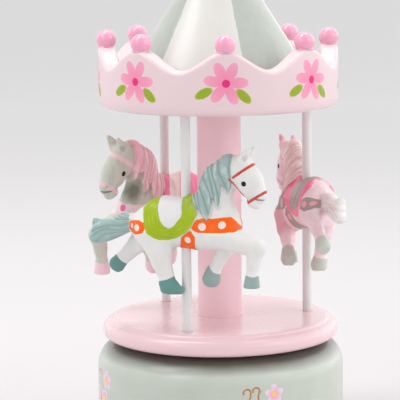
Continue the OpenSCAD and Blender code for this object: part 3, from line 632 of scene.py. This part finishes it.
def line_distance(u, v, a, b):
    ex, ey = b[0] - a[0], b[1] - a[1]
    t = np.clip(((u - a[0]) * ex + (v - a[1]) * ey) / (ex * ex + ey * ey), 0.0, 1.0)
    return np.hypot(u - a[0] - t * ex, v - a[1] - t * ey)


def strand(x, z, pivot, count, spread, wave):
    """Runs from 0 to count across a lock of hair whose uneven strands point at pivot."""
    dx, dz = x - pivot[0], z - pivot[1]
    reach = np.hypot(dx, dz)
    run = (np.arctan2(dz, dx) + wave * np.sin(reach * 0.30)) * count / spread
    return run + 0.30 * np.sin(1.9 * run + 0.15 * reach) + 0.12 * np.sin(4.3 * run - 0.2 * reach)


def mane_strand(x, z):
    return strand(x, z, MANE_PIVOT, 7.0, 0.62, 0.020)


def tail_strand(x, z):
    return strand(x, z, TAIL_PIVOT, 4.0, 0.36, 0.035)


def ridges(s):
    return np.abs(np.sin(np.pi * s)) ** 0.8


def hooves(p):
    """The four hooves, flat underneath."""
    x, y, z = p
    near_fore = np.maximum(rod(p, (30.2, NEAR, 25.2), (30.0, NEAR, 21.6), 2.8, 3.4, 0.95), 20.8 - z)
    far_fore = np.maximum(rod(p, (10.0, FAR, 24.6), (9.3, FAR, 22.0), 3.3, 3.9, 0.9), 18.6 - z)
    heel = smooth_min(rod(p, (-6.9, NEAR, 20.8), (-6.2, NEAR, 19.4), 3.7, 4.1, 0.85),
                      rod(p, (-4.8, NEAR, 18.6), (-1.2, NEAR, 18.0), 3.2, 1.8, 0.9), 1.0)
    near_hind = np.maximum(heel, 16.1 - z - 0.06 * x)
    along = (x + 31.4) * -0.66 + (z - 28.2) * -0.75
    far_hind = np.maximum(rod(p, (-31.2, FAR, 27.8), (-33.0, FAR, 25.8), 3.1, 3.5, 0.85), along - 5.4)
    return np.minimum(np.minimum(near_fore, far_fore), np.minimum(near_hind, far_hind))


def tail_lock(x, y, z):
    """A flat, wavy lock with round edges, ridged along its strands."""
    edge = 2.2
    flat = outline(x, z, TAIL) + edge
    side = np.abs(y - 0.5 * np.sin((x + 20) * 0.16)) - 2.9 + 0.6 * ridges(tail_strand(x, z)) + edge
    return np.hypot(np.maximum(flat, 0), np.maximum(side, 0)) + np.minimum(np.maximum(flat, side), 0) - edge


def mane_hair(x, y, z, body, neck):
    """A raised layer on both sides of the neck, with a crest along its top."""
    flat = outline(x, z, MANE)
    relief = 0.5 * ridges(mane_strand(x, z))
    layer = np.maximum(body - 0.65 - relief, flat)
    crest = np.maximum(np.maximum(neck - 0.9 - relief, flat), np.abs(y) - 3.0)
    return np.minimum(layer, crest)


def carving(x, y, z):
    """Distance in millimetres from a point to the carved horse's surface, negative inside."""
    p, mirrored = (x, y, z), (x, np.abs(y), z)
    trunk = joined_rods(p, TRUNK)
    neck = joined_rods(p, NECK)
    body = smooth_min(trunk, neck, 4.0)
    ear = np.maximum(rod(mirrored, *EAR), -rod(mirrored, *EAR_HOLLOW))
    d = smooth_min(body, smooth_min(joined_rods(p, HEAD), ear, 1.4), 2.4)
    for side, joints, width, blend in LEGS:
        d = smooth_min(d, limb(p, side, joints, width), blend)
    d = smooth_min(d, hooves(p), 0.5)
    d = smooth_min(d, tail_lock(x, y, z), 1.6)
    d = smooth_min(d, mane_hair(x, y, z, body, neck), 0.5)
    # saddle: a raised cloth with a pommel and a cantle, a padded seat, and straps
    padded = joined_rods(p, SADDLE_PADS, trunk)
    d = smooth_min(d, np.maximum(padded - 0.6, outline(x, z, SADDLE)), 0.4)
    d = smooth_min(d, np.maximum(padded - 0.85, outline(x, z, SEAT) + 0.3), 0.7)
    straps = np.minimum(outline(x, z, BREAST_STRAP), outline(x, z, REAR_STRAP))
    straps = np.minimum(straps, outline(x, z, GIRTH))
    d = smooth_min(d, np.maximum(body - 0.35, straps), 0.3)
    # eyes, nostrils and mouth
    d = smooth_min(d, ball_distance(mirrored, (EYE[0], 3.3, EYE[1]), 1.0), 0.5)
    d = -smooth_min(-d, ball_distance(mirrored, (33.9, 2.3, 58.7), 0.55), 0.3)
    return -smooth_min(-d, line_distance(x, z, (31.6, 56.7), (37.0, 56.0)) - 0.26, 0.25)


# Height of the point that a horse is turned and sized about, as in part.scad, and the hole for its pole
GRIP_H = 45.0
POLE_HOLE_R = 2.06
# Cell size of a carved horse's mesh, and the steps over which its slopes are measured
HORSE_STEP = 0.48
SLOPE_STEP = 0.04
NORMAL_STEP = 0.05
# Corners of the space that holds a whole horse
HORSE_SPACE = ((-47, -10.5, 13), (39, 10.5, 81))
# How far out from the surface a crease is measured, for the painted shade in the creases
CREASE_DEPTH = 1.6


def to_row(points, pole, heading, lean, tilt, lift, scale):
    """Takes points of the carving to the row frame; heading, lean and tilt are in degrees, tilt nose down."""
    turn = (Matrix.Rotation(math.radians(heading), 3, "Z") @ Matrix.Rotation(math.radians(tilt), 3, "Y")
            @ Matrix.Rotation(math.radians(lean), 3, "X"))
    grip = np.array((0, 0, GRIP_H))
    return (points - grip) @ (np.array(turn).T * scale) + grip + (pole[0], pole[1], platform_top + lift)


def slope_of(distance, points, e):
    """How fast distance grows along x, y and z at each point."""
    x, y, z = points.T
    here = distance(x, y, z)
    return np.stack([distance(x + e, y, z) - here, distance(x, y + e, z) - here,
                     distance(x, y, z + e) - here], axis=1) / e


def surface(distance, low, high, step):
    """Points and quads of the surface where distance is 0: one point in each cell that it crosses."""
    lines = [np.arange(a, b + step, step) for a, b in zip(low, high)]
    x, y, z = np.meshgrid(*lines, indexing="ij", sparse=True)
    d = distance(x, y, z)
    solid = d < 0
    corners = [(i, j, k) for i in (0, 1) for j in (0, 1) for k in (0, 1)]
    nx, ny, nz = (n - 1 for n in d.shape)
    count = sum(solid[i:nx + i, j:ny + j, k:nz + k].astype(np.int8) for i, j, k in corners)
    cells = np.argwhere((count > 0) & (count < 8))
    index = np.full((nx, ny, nz), -1, np.int64)
    index[tuple(cells.T)] = np.arange(len(cells))
    value = {c: d[tuple((cells + c).T)] for c in corners}
    total, hits = np.zeros((len(cells), 3)), np.zeros(len(cells))
    for a in corners:
        for axis in range(3):
            if a[axis]:
                continue
            b = tuple(1 if n == axis else a[n] for n in range(3))
            crosses = (value[a] < 0) != (value[b] < 0)
            gap = np.where(crosses, value[a] - value[b], 1.0)
            point = np.array(a, float) + np.zeros((len(cells), 1))
            point[:, axis] += value[a] / gap
            total += point * crosses[:, None]
            hits += crosses
    points = np.array(low) + (cells + total / hits[:, None]) * step
    quads = []
    for axis in range(3):
        u, v = (axis + 1) % 3, (axis + 2) % 3
        first = [slice(1, n) for n in (nx, ny, nz)]
        first[axis] = slice(0, (nx, ny, nz)[axis])
        second = list(first)
        second[axis] = slice(1, (nx, ny, nz)[axis] + 1)
        change = solid[tuple(first)].astype(np.int8) - solid[tuple(second)].astype(np.int8)
        edges = np.argwhere(change != 0)
        base = edges.copy()
        base[:, [u, v]] += 1
        ring = []
        for du, dv in ((0, 0), (-1, 0), (-1, -1), (0, -1)):
            cell = base.copy()
            cell[:, u] += du
            cell[:, v] += dv
            ring.append(index[tuple(cell.T)])
        ring = np.stack(ring, axis=1)
        turn = change[tuple(edges.T)] < 0
        ring[turn] = ring[turn][:, ::-1]
        quads.append(ring)
    for _ in range(3):
        here = distance(*points.T)
        slope = slope_of(distance, points, SLOPE_STEP)
        move = here[:, None] * slope / np.maximum((slope ** 2).sum(1), 0.3)[:, None]
        length = np.linalg.norm(move, axis=1)[:, None]
        points = points - move * np.minimum(1.0, 0.5 * step / np.maximum(length, 1e-9))
    return points, np.concatenate(quads)


def horse_paint(points, look):
    """What is painted where: millimetres inside each painted outline, and the run of the hair."""
    x, y, z = points.T
    hooves_in = [np.minimum(-outline(x, z, shape), side * y + 0.5) for shape, side in HOOF_PAINT]
    dots = [r - np.hypot(x - u, z - v) for u, v, r in DOTS]
    dots += [r - np.hypot(y - v, z - w) - np.maximum(14 - x, 0) for v, w, r in look.get("chest_dots", [])]
    return {
        "mane": -outline(x, z, MANE),
        "tail": np.minimum(-outline(x, z, TAIL) + 1.0, -24.3 - x),
        "hoof": np.max(hooves_in, axis=0),
        "saddle": -outline(x, z, SADDLE),
        "seat": -outline(x, z, look.get("seat_shape", SEAT)),
        "strap": np.max([-outline(x, z, BREAST_STRAP), -outline(x, z, REAR_STRAP), -outline(x, z, GIRTH),
                         np.minimum(-outline(x, z, CHEST_BAND), y - look.get("band_from", 1.5))], axis=0),
        "dot": np.max(dots, axis=0),
        "bridle": np.max([half - line_distance(x, z, a, b) for a, b, half in BRIDLE], axis=0),
        "eye": EYE[2] - np.hypot(x - EYE[0], z - EYE[1]),
        "mane_strand": mane_strand(x, z),
        "tail_strand": tail_strand(x, z),
        "along": x,
        "up": z,
        "band": x - 0.9 * np.abs(y),
    }


def horse_material(name, look, attributes):
    """Hand-painted wood: each painted region's edge is where its distance passes 0."""
    g = Graph(name)
    place = {key: g.attribute(key) for key in attributes}
    hand = g.wavy(2.2, 2.0, 0.10)
    x, z = place["along"], place["up"]

    def painted(under, key, colour, edge=0.06, shaky=True):
        distance = g.add(place[key], hand) if shaky else place[key]
        return g.mix(g.ramp(distance, -edge, edge), under, colour)

    def strands(run, colour, light, dark):
        """Hair: pale strokes on the ridges and darker paint between them."""
        wave = g.math("ABSOLUTE", g.math("SINE", g.times(g.add(place[run], g.wavy(3.0, 2.0, 0.12)), math.pi)))
        tone = g.mix(g.ramp(wave, 0.25, 0.75), dark, colour)
        stroke = g.times(g.ramp(wave, 0.90, 0.98), g.ramp(g.noise(5.0, 3.0), 0.42, 0.60))
        return g.mix(stroke, tone, light)

    body = g.mix(g.ramp(g.noise(5.0, 3.0, (1, 1, 0.35)), 0.35, 0.7), look["body"], look["body_2"])
    brushed = g.ramp(g.noise(1.4, 3.0, (1, 1, 0.2)), 0.45, 0.8, 0.0, look["brush"])
    body = g.mix(brushed, body, look["brush_colour"])
    for (cu, cv), half, tilt, colour, amount in look["patches"]:
        patch = g.ramp(g.add(g.ellipse(x, z, (cu, cv), half, tilt), g.times(hand, 3.0)), -0.8, 1.2)
        body = g.mix(g.times(patch, amount), body, colour)
    tone = painted(body, "strap", look["strap"])
    tone = painted(tone, "dot", look["dot"], 0.05, False)
    if "fringe" in look:
        rim = g.math("ABSOLUTE", g.add(g.largest([place["strap"], place["saddle"]]), 0.16))
        tone = g.mix(g.ramp(rim, 0.10, 0.24, 0.75, 0.0), tone, look["fringe"])
    tone = painted(tone, "tail", strands("tail_strand", *look["tail"]))
    if "stripes" in look:
        # bands over the saddle, that slant forwards on their way down
        saddle = look["stripes"][0][1]
        for start, colour in look["stripes"][1:]:
            band = g.add(place["band"], g.times(hand, 1.5))
            saddle = g.mix(g.ramp(band, start - 0.12, start + 0.12), saddle, colour)
        tone = painted(tone, "saddle", saddle)
    else:
        stroke = g.math("SINE", g.times(g.add(place["saddle"], g.times(hand, 2.0)), 3.3))
        cloth = g.mix(g.times(g.ramp(stroke, 0.75, 0.95), g.ramp(g.noise(4.0, 2.0), 0.45, 0.6, 0.0, 0.7)),
                      look["saddle"], look["saddle_light"])
        tone = painted(tone, "saddle", cloth)
        tone = painted(tone, "seat", look["seat"])
    tone = painted(tone, "mane", strands("mane_strand", *look["mane"]))
    # painted light: the hoof paint goes lighter towards the fore hooves, where more light falls
    hoof = g.mix(g.ramp(x, -2.0, 8.0), look["hoof"], look.get("lit_hoof_fore", look["hoof"]))
    tone = painted(tone, "hoof", hoof)
    bridle = g.add(g.add(place["bridle"], look.get("bridle_wider", 0.0)), hand)
    tone = g.mix(g.ramp(bridle, -0.08, 0.08, 0.0, look.get("bridle_cover", 1.0)), tone, look["bridle"])
    # painted shade: creases are darkened towards a darker colour, as deep as the crease lies, standing in for
    # the shade that falls there
    crease = g.times(g.ramp(place["crease"], 0.12, 0.85), look["painted_shade"])
    tone = g.mix(crease, tone, look["painted_shade_colour"])
    tone = painted(tone, "eye", (0.012, 0.012, 0.010), 0.06, False)
    relief = g.add(g.times(g.noise(1.1, 3.0, (1, 1, 0.5)), 0.5), g.times(g.noise(0.35, 2.0), 0.3))
    g.bump(relief, 0.25, 0.25)
    shine = g.ramp(place["eye"], -0.06, 0.06, 0.34, 0.10)
    g.shade(Base_Color=tone, Roughness=shine, Coat_Weight=0.05, Coat_Roughness=0.16, Specular_IOR_Level=0.25,
            Subsurface_Weight=0.04)
    return g.material


# Hair: base, strokes, hollows. Patches: centre, half sizes, tilt, colour, cover. Stripes: start, colour.
WHITE_HORSE = {
    "body": (0.79, 0.79, 0.77), "body_2": (0.83, 0.83, 0.82), "brush": 0.25,
    "brush_colour": (0.71, 0.715, 0.68),
    "patches": [],
    "mane": ((0.35, 0.47, 0.46), (0.54, 0.655, 0.64), (0.27, 0.385, 0.375)),
    "tail": ((0.34, 0.51, 0.485), (0.56, 0.68, 0.665), (0.28, 0.43, 0.41)),
    # painted light: the fore hooves get a lighter copy of the hoof paint
    "hoof": (0.12, 0.30, 0.28), "lit_hoof_fore": (0.30, 0.42, 0.405),
    "saddle": (0.36, 0.50, 0.008), "saddle_light": (0.52, 0.66, 0.05), "seat": (0.80, 0.785, 0.79),
    "strap": (0.97, 0.13, 0.003), "dot": (0.90, 0.78, 0.70), "bridle": (0.60, 0.07, 0.05),
    "fringe": (0.86, 0.86, 0.58), "painted_shade": 0.45, "painted_shade_colour": (0.34, 0.35, 0.30),
}
PINK_HORSE = {
    "body": (0.94, 0.75, 0.79), "body_2": (0.95, 0.82, 0.85), "brush": 0.5,
    "brush_colour": (0.82, 0.46, 0.53),
    "patches": [((18, 42), (9, 15), 10, (0.78, 0.34, 0.41), 0.65),
                ((27.5, 76), (3, 3.5), 0, (0.72, 0.32, 0.39), 0.8)],
    "mane": ((0.84, 0.68, 0.66), (0.93, 0.88, 0.86), (0.75, 0.56, 0.54)),
    "tail": ((0.88, 0.86, 0.84), (0.93, 0.92, 0.91), (0.82, 0.77, 0.75)),
    "hoof": (0.57, 0.63, 0.56),
    "saddle": (0.94, 0.21, 0.37), "saddle_light": (0.95, 0.36, 0.49), "seat": (0.43, 0.38, 0.35),
    "seat_shape": WIDE_SEAT,
    "strap": (0.42, 0.35, 0.32), "dot": (0.88, 0.42, 0.52), "bridle": (0.66, 0.40, 0.42), "bridle_cover": 0.6,
    "painted_shade": 0.45, "painted_shade_colour": (0.60, 0.24, 0.29),
}
ROSE_HAIR = ((0.86, 0.55, 0.60), (0.93, 0.74, 0.77), (0.78, 0.47, 0.51))
GREY_HORSE = {
    "body": (0.57, 0.61, 0.53), "body_2": (0.64, 0.67, 0.59), "brush": 0.5,
    "brush_colour": (0.44, 0.45, 0.38),
    # painted shade: a dark patch on the throat, behind the jaw, where shadow falls
    "patches": [((19.9, 54.3), (4.8, 2.2), 114, (0.15, 0.17, 0.12), 0.85)],
    "mane": ROSE_HAIR, "tail": ROSE_HAIR,
    "hoof": (0.90, 0.65, 0.71),
    "stripes": [(-40, (0.92, 0.45, 0.55)), (-18.5, (0.96, 0.26, 0.45)), (-12.2, (0.93, 0.66, 0.66)),
                (-10.2, (0.92, 0.42, 0.53)), (-7.6, (0.93, 0.80, 0.76)), (-2.0, (0.96, 0.24, 0.43)),
                (1.2, (0.93, 0.62, 0.62))],
    "strap": (0.84, 0.64, 0.66), "dot": (0.80, 0.16, 0.38), "chest_dots": [(0.4, 47.6, 1.4)],
    "band_from": -5.0,
    "bridle": (0.93, 0.63, 0.70), "bridle_wider": 0.35, "bridle_cover": 0.75,
    "painted_shade": 0.5, "painted_shade_colour": (0.25, 0.24, 0.19),
}


# -------- pieces

def make_piece(name, points, faces, material, body, slot, *replaced):
    """A mesh piece from points in millimetres in the row frame."""
    mesh = bpy.data.meshes.new(name)
    mesh.from_pydata((np.asarray(points) * MM).tolist(), [], [list(f) for f in faces])
    mesh.validate()
    mesh.shade_smooth()
    mesh.materials.append(material)
    piece = bpy.data.objects.new(name, mesh)
    bpy.context.collection.objects.link(piece)
    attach(piece, body)
    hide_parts(*replaced)
    return piece


# Facets round each turned piece, and up the roof
PLATFORM_SEGMENTS = 240
CROWN_SEGMENTS = 480
ROOF_SEGMENTS = 192
ROOF_STEPS = 24
BALL_SEGMENTS = 48
FINIAL_SEGMENTS = 64


def arc(r, z, radius, start, end, count):
    """Points of a circle's arc in a profile, in degrees from outwards."""
    angles = [math.radians(start + (end - start) * i / count) for i in range(count + 1)]
    return [(r + radius * math.cos(a), z + radius * math.sin(a)) for a in angles]


def turned(profiles, closed):
    """Points and faces of a form swept round Z; one profile of (r, z) for each angle, from -Y towards +X."""
    count, size = len(profiles), len(profiles[0])
    points, faces = [], []
    for i, profile in enumerate(profiles):
        a = 2 * math.pi * i / count
        points += [(r * math.sin(a), -r * math.cos(a), z) for r, z in profile]
    for i in range(count):
        here, there = i * size, (i + 1) % count * size
        for j in range(size if closed else size - 1):
            k = (j + 1) % size
            faces.append((here + j, there + j, there + k, here + k))
    if not closed:
        points += [(0, 0, profiles[0][0][1]), (0, 0, profiles[0][-1][1])]
        first, last = len(points) - 2, len(points) - 1
        for i in range(count):
            here, there = i * size, (i + 1) % count * size
            faces.append((there, here, first))
            faces.append((here + size - 1, there + size - 1, last))
    return points, faces


def lathe(profile, segments):
    return turned([profile] * segments, False)


def build_platform():
    """The turntable: a rounded edge, a small step, and a recess for the hub plate below."""
    low, high = node_box("platform")
    r, bottom, top = high[0], low[2], high[2]
    hub_high = node_box("hub_plate")[1]
    recess = hub_high[0] + 0.3
    profile = [(4.2, hub_high[2] + 0.1), (4.2, bottom + 2.0), (recess, bottom + 2.0), (recess, bottom + 0.2),
               (recess + 0.2, bottom)]
    profile += arc(r - 2.8, bottom + 2.8, 2.8, -90, 0, 8)
    profile += arc(r - 3.8, bottom + 3.4, 3.8, 8, 62, 10)
    profile += [(r - 2.42, top - 1.52), (r - 2.9, top - 1.30), (r - 3.3, top - 1.17)]
    profile += arc(r - 5.6, top - 2.2, 2.2, 32, 90, 10)
    profile += [(r - 9, top), (column_r + 6, top), (column_r, top), (5.0, top)]
    points, faces = lathe(profile, PLATFORM_SEGMENTS)
    return make_piece("platform_wood", points, faces, platform_paint(), "carousel", "pink_paint", "platform")


def build_crown():
    profiles = []
    for i in range(CROWN_SEGMENTS):
        a = 360 * i / CROWN_SEGMENTS
        top = crown_peak - WAVE_H * (1 - math.cos(math.radians(WAVES * (a - FIRST_PEAK)))) / 2
        profile = arc(crown_r - 4, canopy_bottom + 4, 4, -90, 0, 8)
        wall = top - 2.0 - canopy_bottom - 4
        profile += [(crown_r, canopy_bottom + 4 + wall * t) for t in (0.25, 0.5, 0.75)]
        profile += arc(crown_r - 2.0, top - 2.0, 2.0, 0, 90, 7)
        profile += [(crown_r - 2 - (crown_wall - 3.2) * t, top) for t in (0.35, 0.7)]
        profile += arc(crown_inner_r + 1.2, top - 1.2, 1.2, 90, 180, 5)
        profile += [(crown_inner_r, top - 4), (crown_inner_r, canopy_bottom + 0.6),
                    (crown_inner_r + 0.6, canopy_bottom)]
        profiles.append(profile)
    points, faces = turned(profiles, True)
    return make_piece("crown_wood", points, faces, crown_paint(), "carousel", "pink_paint", "crown_ring")


def build_roof():
    """The cone, very slightly swollen, with a small flat tip under the ball."""
    profile = [(1.6, ceiling_top + 0.5), (roof_r - 0.4, ceiling_top), (roof_r, ceiling_top + 0.5)]
    for i in range(1, ROOF_STEPS + 1):
        t = i / ROOF_STEPS
        r = roof_r + (ROOF_TIP_R + 0.3 - roof_r) * t
        z = ceiling_top + 0.5 + (roof_top - 0.9 - ceiling_top) * t
        profile.append((r + 0.35 * math.sin(math.pi * t), z))
    profile += [(ROOF_TIP_R, roof_top - 0.15), (ROOF_TIP_R - 0.4, roof_top)]
    points, faces = lathe(profile, ROOF_SEGMENTS)
    return make_piece("roof_wood", points, faces, roof_paint(), "carousel", "roof_paint", "roof_cone")


def ball_profile(radius, seat, flare):
    """A turned ball from its top down to its seat, with the little skirt where its paint pooled."""
    low = math.degrees(math.asin(seat / radius))
    profile = arc(0, 0, radius, 90, low, 26)[1:]
    profile[0] = (profile[0][0], radius)
    foot_r = radius * math.cos(math.radians(low))
    profile += [(foot_r + 0.12, seat - 0.12), (foot_r + flare, seat - 0.36),
                (foot_r + flare + 0.1, seat - 0.5), (foot_r - 1.0, seat - 0.55)]
    return profile[::-1]


def build_balls():
    """The eight balls of the crown, each leaning a little its own way, and the ball on the roof."""
    points, faces = [], []
    one, quads = lathe(ball_profile(BALL_R, crown_peak - ball_centre_z - 0.1, 0.25), BALL_SEGMENTS)
    one = np.array(one)
    for i in range(WAVES):
        a = math.radians(FIRST_PEAK + i * 360 / WAVES)
        lean = 0.02 * math.sin(5.1 * i)
        centre = (ball_ring_r * math.sin(a), -ball_ring_r * math.cos(a), ball_centre_z)
        moved = one @ np.array(Matrix.Rotation(lean, 3, "X")) + centre
        faces += [tuple(k + len(points) for k in f) for f in quads]
        points += moved.tolist()
    gloss = turned_paint("ball_gloss", BALL_PINK, 0.22, 0.6, 0.10, 0.08)
    make_piece("crown_ball_set", points, faces, gloss, "carousel", "ball_paint", "crown_balls")
    centre_z = finial_high[2] - finial_r
    profile = ball_profile(finial_r, roof_top - centre_z + 0.2, 0.1)
    points, faces = lathe([(r, z + centre_z) for r, z in profile], FINIAL_SEGMENTS)
    make_piece("finial_ball_wood", points, faces, gloss, "carousel", "ball_paint", "finial_ball")


def build_horse(name, look, *pose):
    """A carved, painted horse on its pole; pose is heading, lean, tilt, lift and scale."""
    low, high = node_box("pole_%s_horse" % name)
    pole = (low + high) / 2

    def in_row(x, y, z):
        full = np.stack(np.broadcast_arrays(x, y, z), -1)
        return np.moveaxis(to_row(full, pole, *pose), -1, 0)

    def shape(x, y, z):
        row = in_row(x, y, z)
        return np.maximum(carving(x, y, z), POLE_HOLE_R - np.hypot(row[0] - pole[0], row[1] - pole[1]))

    points, quads = surface(shape, *HORSE_SPACE, HORSE_STEP)
    normal = slope_of(shape, points, NORMAL_STEP)
    normal /= np.maximum(np.linalg.norm(normal, axis=1), 1e-9)[:, None]
    paint = horse_paint(points, look)
    # how deep each point lies in a crease, which sets the painted shade there
    paint["crease"] = 1 - shape(*(points + CREASE_DEPTH * normal).T) / CREASE_DEPTH
    piece = make_piece(name + "_horse_carved", to_row(points, pole, *pose), quads.tolist(),
                       horse_material(name + "_horse_paint", look, paint), "carousel",
                       name + "_horse_paint", "horse_" + name)
    for key, values in paint.items():
        attribute = piece.data.attributes.new(key, "FLOAT", "POINT")
        attribute.data.foreach_set("value", np.asarray(values, np.float32))


def make_floor():
    bpy.ops.mesh.primitive_circle_add(vertices=96, radius=14, fill_type="NGON")
    floor = bpy.context.object
    floor.name = "floor"
    g = Graph("floor_paper")
    x, y, z = g.axes()
    # painted light: the floor is painted brighter far from the box, where little lamp light reaches, and
    # darker near it, where the lamps light it
    far = g.ramp(g.hypot(x, y), 150.0, 1500.0)
    near_tone = g.mix(g.ramp(g.noise(400, 2.0), 0.3, 0.7), (0.69, 0.665, 0.68), (0.71, 0.685, 0.70))
    tone = g.mix(far, near_tone, (0.93, 0.92, 0.93))
    g.shade(Base_Color=tone, Roughness=0.75)
    floor.data.materials.append(g.material)


make_camera()
make_lights()
make_floor()

pink = turned_paint("pink_wood_paint", PINK)
by_slot = {
    "base_paint": base_paint(),
    "pink_paint": pink,
    "roof_paint": pink,
    "ball_paint": pink,
    "pole_paint": turned_paint("pole_white_paint", (0.80, 0.785, 0.78), 0.3, 0.3, 0.15, 0.06),
    "bare_wood": bare_wood("beech"),
    "felt": felt("green_black_felt"),
    "brass": metal("brass", (0.74, 0.54, 0.24), 0.28, TURNED),
    "steel": metal("bright_steel", (0.62, 0.62, 0.64), 0.25, TURNED),
    "plated_zinc": metal("plated_zinc", (0.56, 0.57, 0.58), 0.38),
    "spring_steel": metal("blued_spring", (0.22, 0.26, 0.34), 0.3, BRUSHED),
    "governor_plastic": moulded_plastic("governor_plastic", (0.82, 0.81, 0.75)),
}
slot_of = {entry["node"]: entry["material_slot"] for entry in frame["record"]["subparts"]}
# painted light: the column gets a paler copy of the pink paint
lit_column_paint = turned_paint("lit_column_paint", LIT_COLUMN_PINK)
for name, node in frame["nodes"].items():
    for holder in node.material_slots:
        holder.material = lit_column_paint if name == "column" else by_slot.get(slot_of.get(name), pink)

build_platform()
build_crown()
build_roof()
build_balls()
# heading, lean, tilt, lift and scale of each, as part.scad sets its own horses
build_horse("white", WHITE_HORSE, -21, 0, 0, 0, 1.0)
build_horse("pink", PINK_HORSE, 108, 6, 10.5, 1.6, 1.0)
build_horse("grey", GREY_HORSE, 225, -8, 5, -0.5, 1.1)
